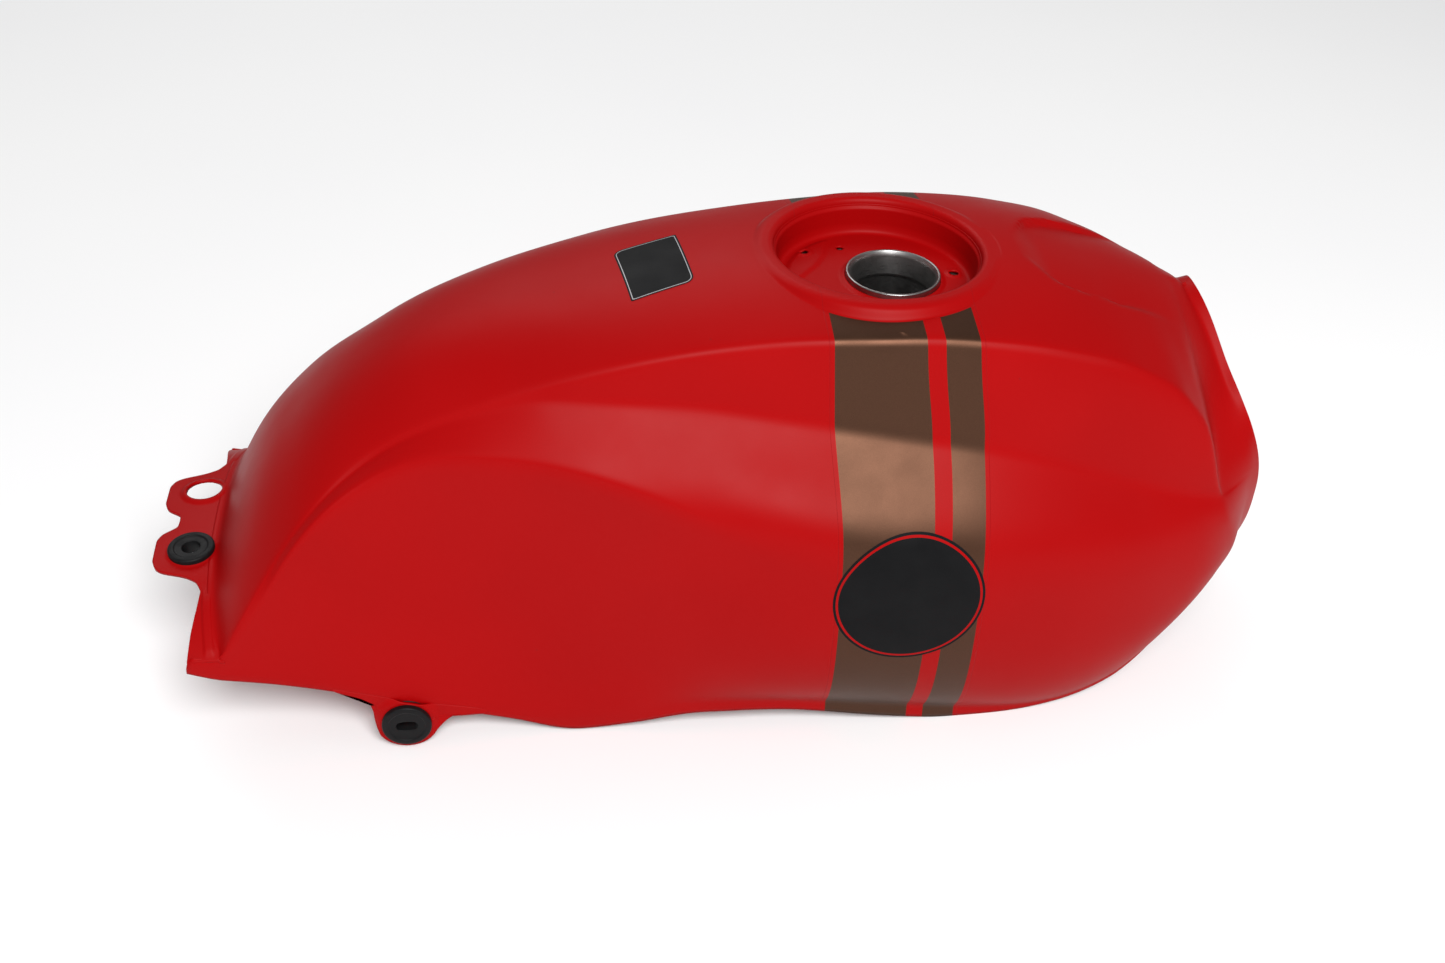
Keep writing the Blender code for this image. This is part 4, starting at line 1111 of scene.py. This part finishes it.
def moulded(name, colour, low, high):
    """Moulded plastic or foam: a fine pebbled skin and a little drift in its shade."""
    shader = Shader(name, colour, low)
    shade = shader.ramp(shader.noise(110.0, 3.0), 0.3, 0.7)
    shader.feed("Base Color", shader.mix(shade, colour, tuple(1.5 * c for c in colour)))
    shader.feed("Roughness", shader.ramp(shader.noise(500.0, 3.0), 0.3, 0.7, low, high))
    shader.feed("Normal", shader.bump(shader.noise(1800.0, 3.0), 0.00006, 0.5))
    return shader.material


# ---- studio (metres, degrees and watts) ----
FLOOR_HALF = 20
FLOOR_COLOUR = (0.95, 0.95, 0.95)
SKY = 0.3
KEY_AT, KEY_SIZE, KEY_POWER = (0.22, -1.75, 1.85), (1.3, 0.9), 72
BACK_AT, BACK_SIZE, BACK_POWER = (-0.4, 1.9, 1.9), (1.8, 1.0), 16
VIEW_FROM = (-0.16665, -0.74863, 0.40608)  # the camera's place from the filler
VIEW_TILT, VIEW_TURN = 54.06, -6.69
LENS, SENSOR = 42.35, 36  # millimetres


def studio():
    """A plain pale floor, a broad soft key on the right, a weak light behind and an even sky."""
    floor_z = cad_low.z - 0.0005
    data = bpy.data.meshes.new("studio_floor")
    corners = [(x * FLOOR_HALF, y * FLOOR_HALF, floor_z) for x, y in ((-1, -1), (1, -1), (1, 1), (-1, 1))]
    data.from_pydata(corners, [], [(0, 1, 2, 3)])
    floor = bpy.data.objects.new("studio_floor", data)
    bpy.context.scene.collection.objects.link(floor)
    shader = Shader("studio_floor", FLOOR_COLOUR, 0.9)
    drift = shader.ramp(shader.noise(2.0, 2.0), 0.3, 0.7)
    shader.feed("Base Color", shader.mix(drift, FLOOR_COLOUR, (0.93, 0.93, 0.935)))
    shader.surface.inputs["Specular IOR Level"].default_value = 0.0
    data.materials.append(shader.material)
    world = bpy.data.worlds.new("studio")
    world.use_nodes = True
    background = world.node_tree.nodes["Background"]
    background.inputs["Color"].default_value = (1, 1, 1, 1)
    background.inputs["Strength"].default_value = SKY
    bpy.context.scene.world = world
    softbox("key_light", KEY_AT, KEY_SIZE, KEY_POWER)
    softbox("back_light", BACK_AT, BACK_SIZE, BACK_POWER)


def softbox(name, place, size, power):
    light = bpy.data.lights.new(name, "AREA")
    light.shape = "RECTANGLE"
    light.size, light.size_y = size
    light.energy = power
    obj = bpy.data.objects.new(name, light)
    bpy.context.scene.collection.objects.link(obj)
    obj.location = place
    middle = (cad_low + cad_high) / 2
    obj.rotation_euler = (middle - Vector(place)).to_track_quat("-Z", "Y").to_euler()


def camera():
    lens = bpy.data.cameras.new("camera")
    lens.sensor_width = SENSOR
    lens.lens = LENS
    lens.clip_start = 0.05
    view = bpy.data.objects.new("camera", lens)
    bpy.context.scene.collection.objects.link(view)
    view.location = FILLER + Vector(VIEW_FROM)
    view.rotation_euler = (math.radians(VIEW_TILT), 0, math.radians(VIEW_TURN))
    bpy.context.scene.camera = view
    bpy.context.scene.view_settings.view_transform = "Standard"


def finish_frame(finishes):
    """Gives each CAD node that stays in sight its finish."""
    for finish, names in finishes:
        for name in names:
            for slot in frame["nodes"][name].material_slots:
                slot.material = finish


def main():
    studio()
    camera()
    paint, stripes, dark, steel, plated = plain_paint(), striped_paint(), rubber(), turned_steel(), zinc()
    black = decal("decal_black", (0.004, 0.004, 0.0045), (0.006, 0.006, 0.0065))
    shell, surface = tank_shell()
    shell.data.materials.append(stripes)
    recess_cup().data.materials.append(paint)
    neck().data.materials.append(steel)
    rear_plate().data.materials.append(paint)
    rear_grommet().data.materials.append(dark)
    for side, name in ((-1, "right"), (1, "left")):
        place = side_place(side)
        sleeve = grommet("side_rubber_" + name, "side_grommet_" + name, place, 9.8, 12.8, 3.0, 2.5)
        sleeve.data.materials.append(dark)
        side_tab(side, "side_tab_plate_" + name).data.materials.append(paint)
        disc = roundel(surface, side, "flank_disc_" + name)
        for finish in (black, paint):
            disc.data.materials.append(finish)
    plate = label(surface)
    for finish in (black, decal_pale()):
        plate.data.materials.append(finish)
    foam = moulded("float_nitrile", (0.02, 0.02, 0.021), 0.6, 0.8)
    nylon = moulded("sender_plastic", (0.035, 0.035, 0.036), 0.4, 0.55)
    numbered = ["sender_screw_%d" % (i + 1) for i in range(4)]
    numbered += ["cap_screw_boss_%d" % (i + 1) for i in range(3)]
    finish_frame([
        (paint, ["tunnel_pan", "front_saddle_right", "front_saddle_left"]),
        (plated, ["recess_drain_tube", "fuel_outlet_bush", "sender_weld_ring", "sender_flange"]),
        (plated, ["float_arm"] + numbered),
        (foam, ["float", "sender_gasket"]),
        (nylon, ["sender_stem"]),
    ])


main()
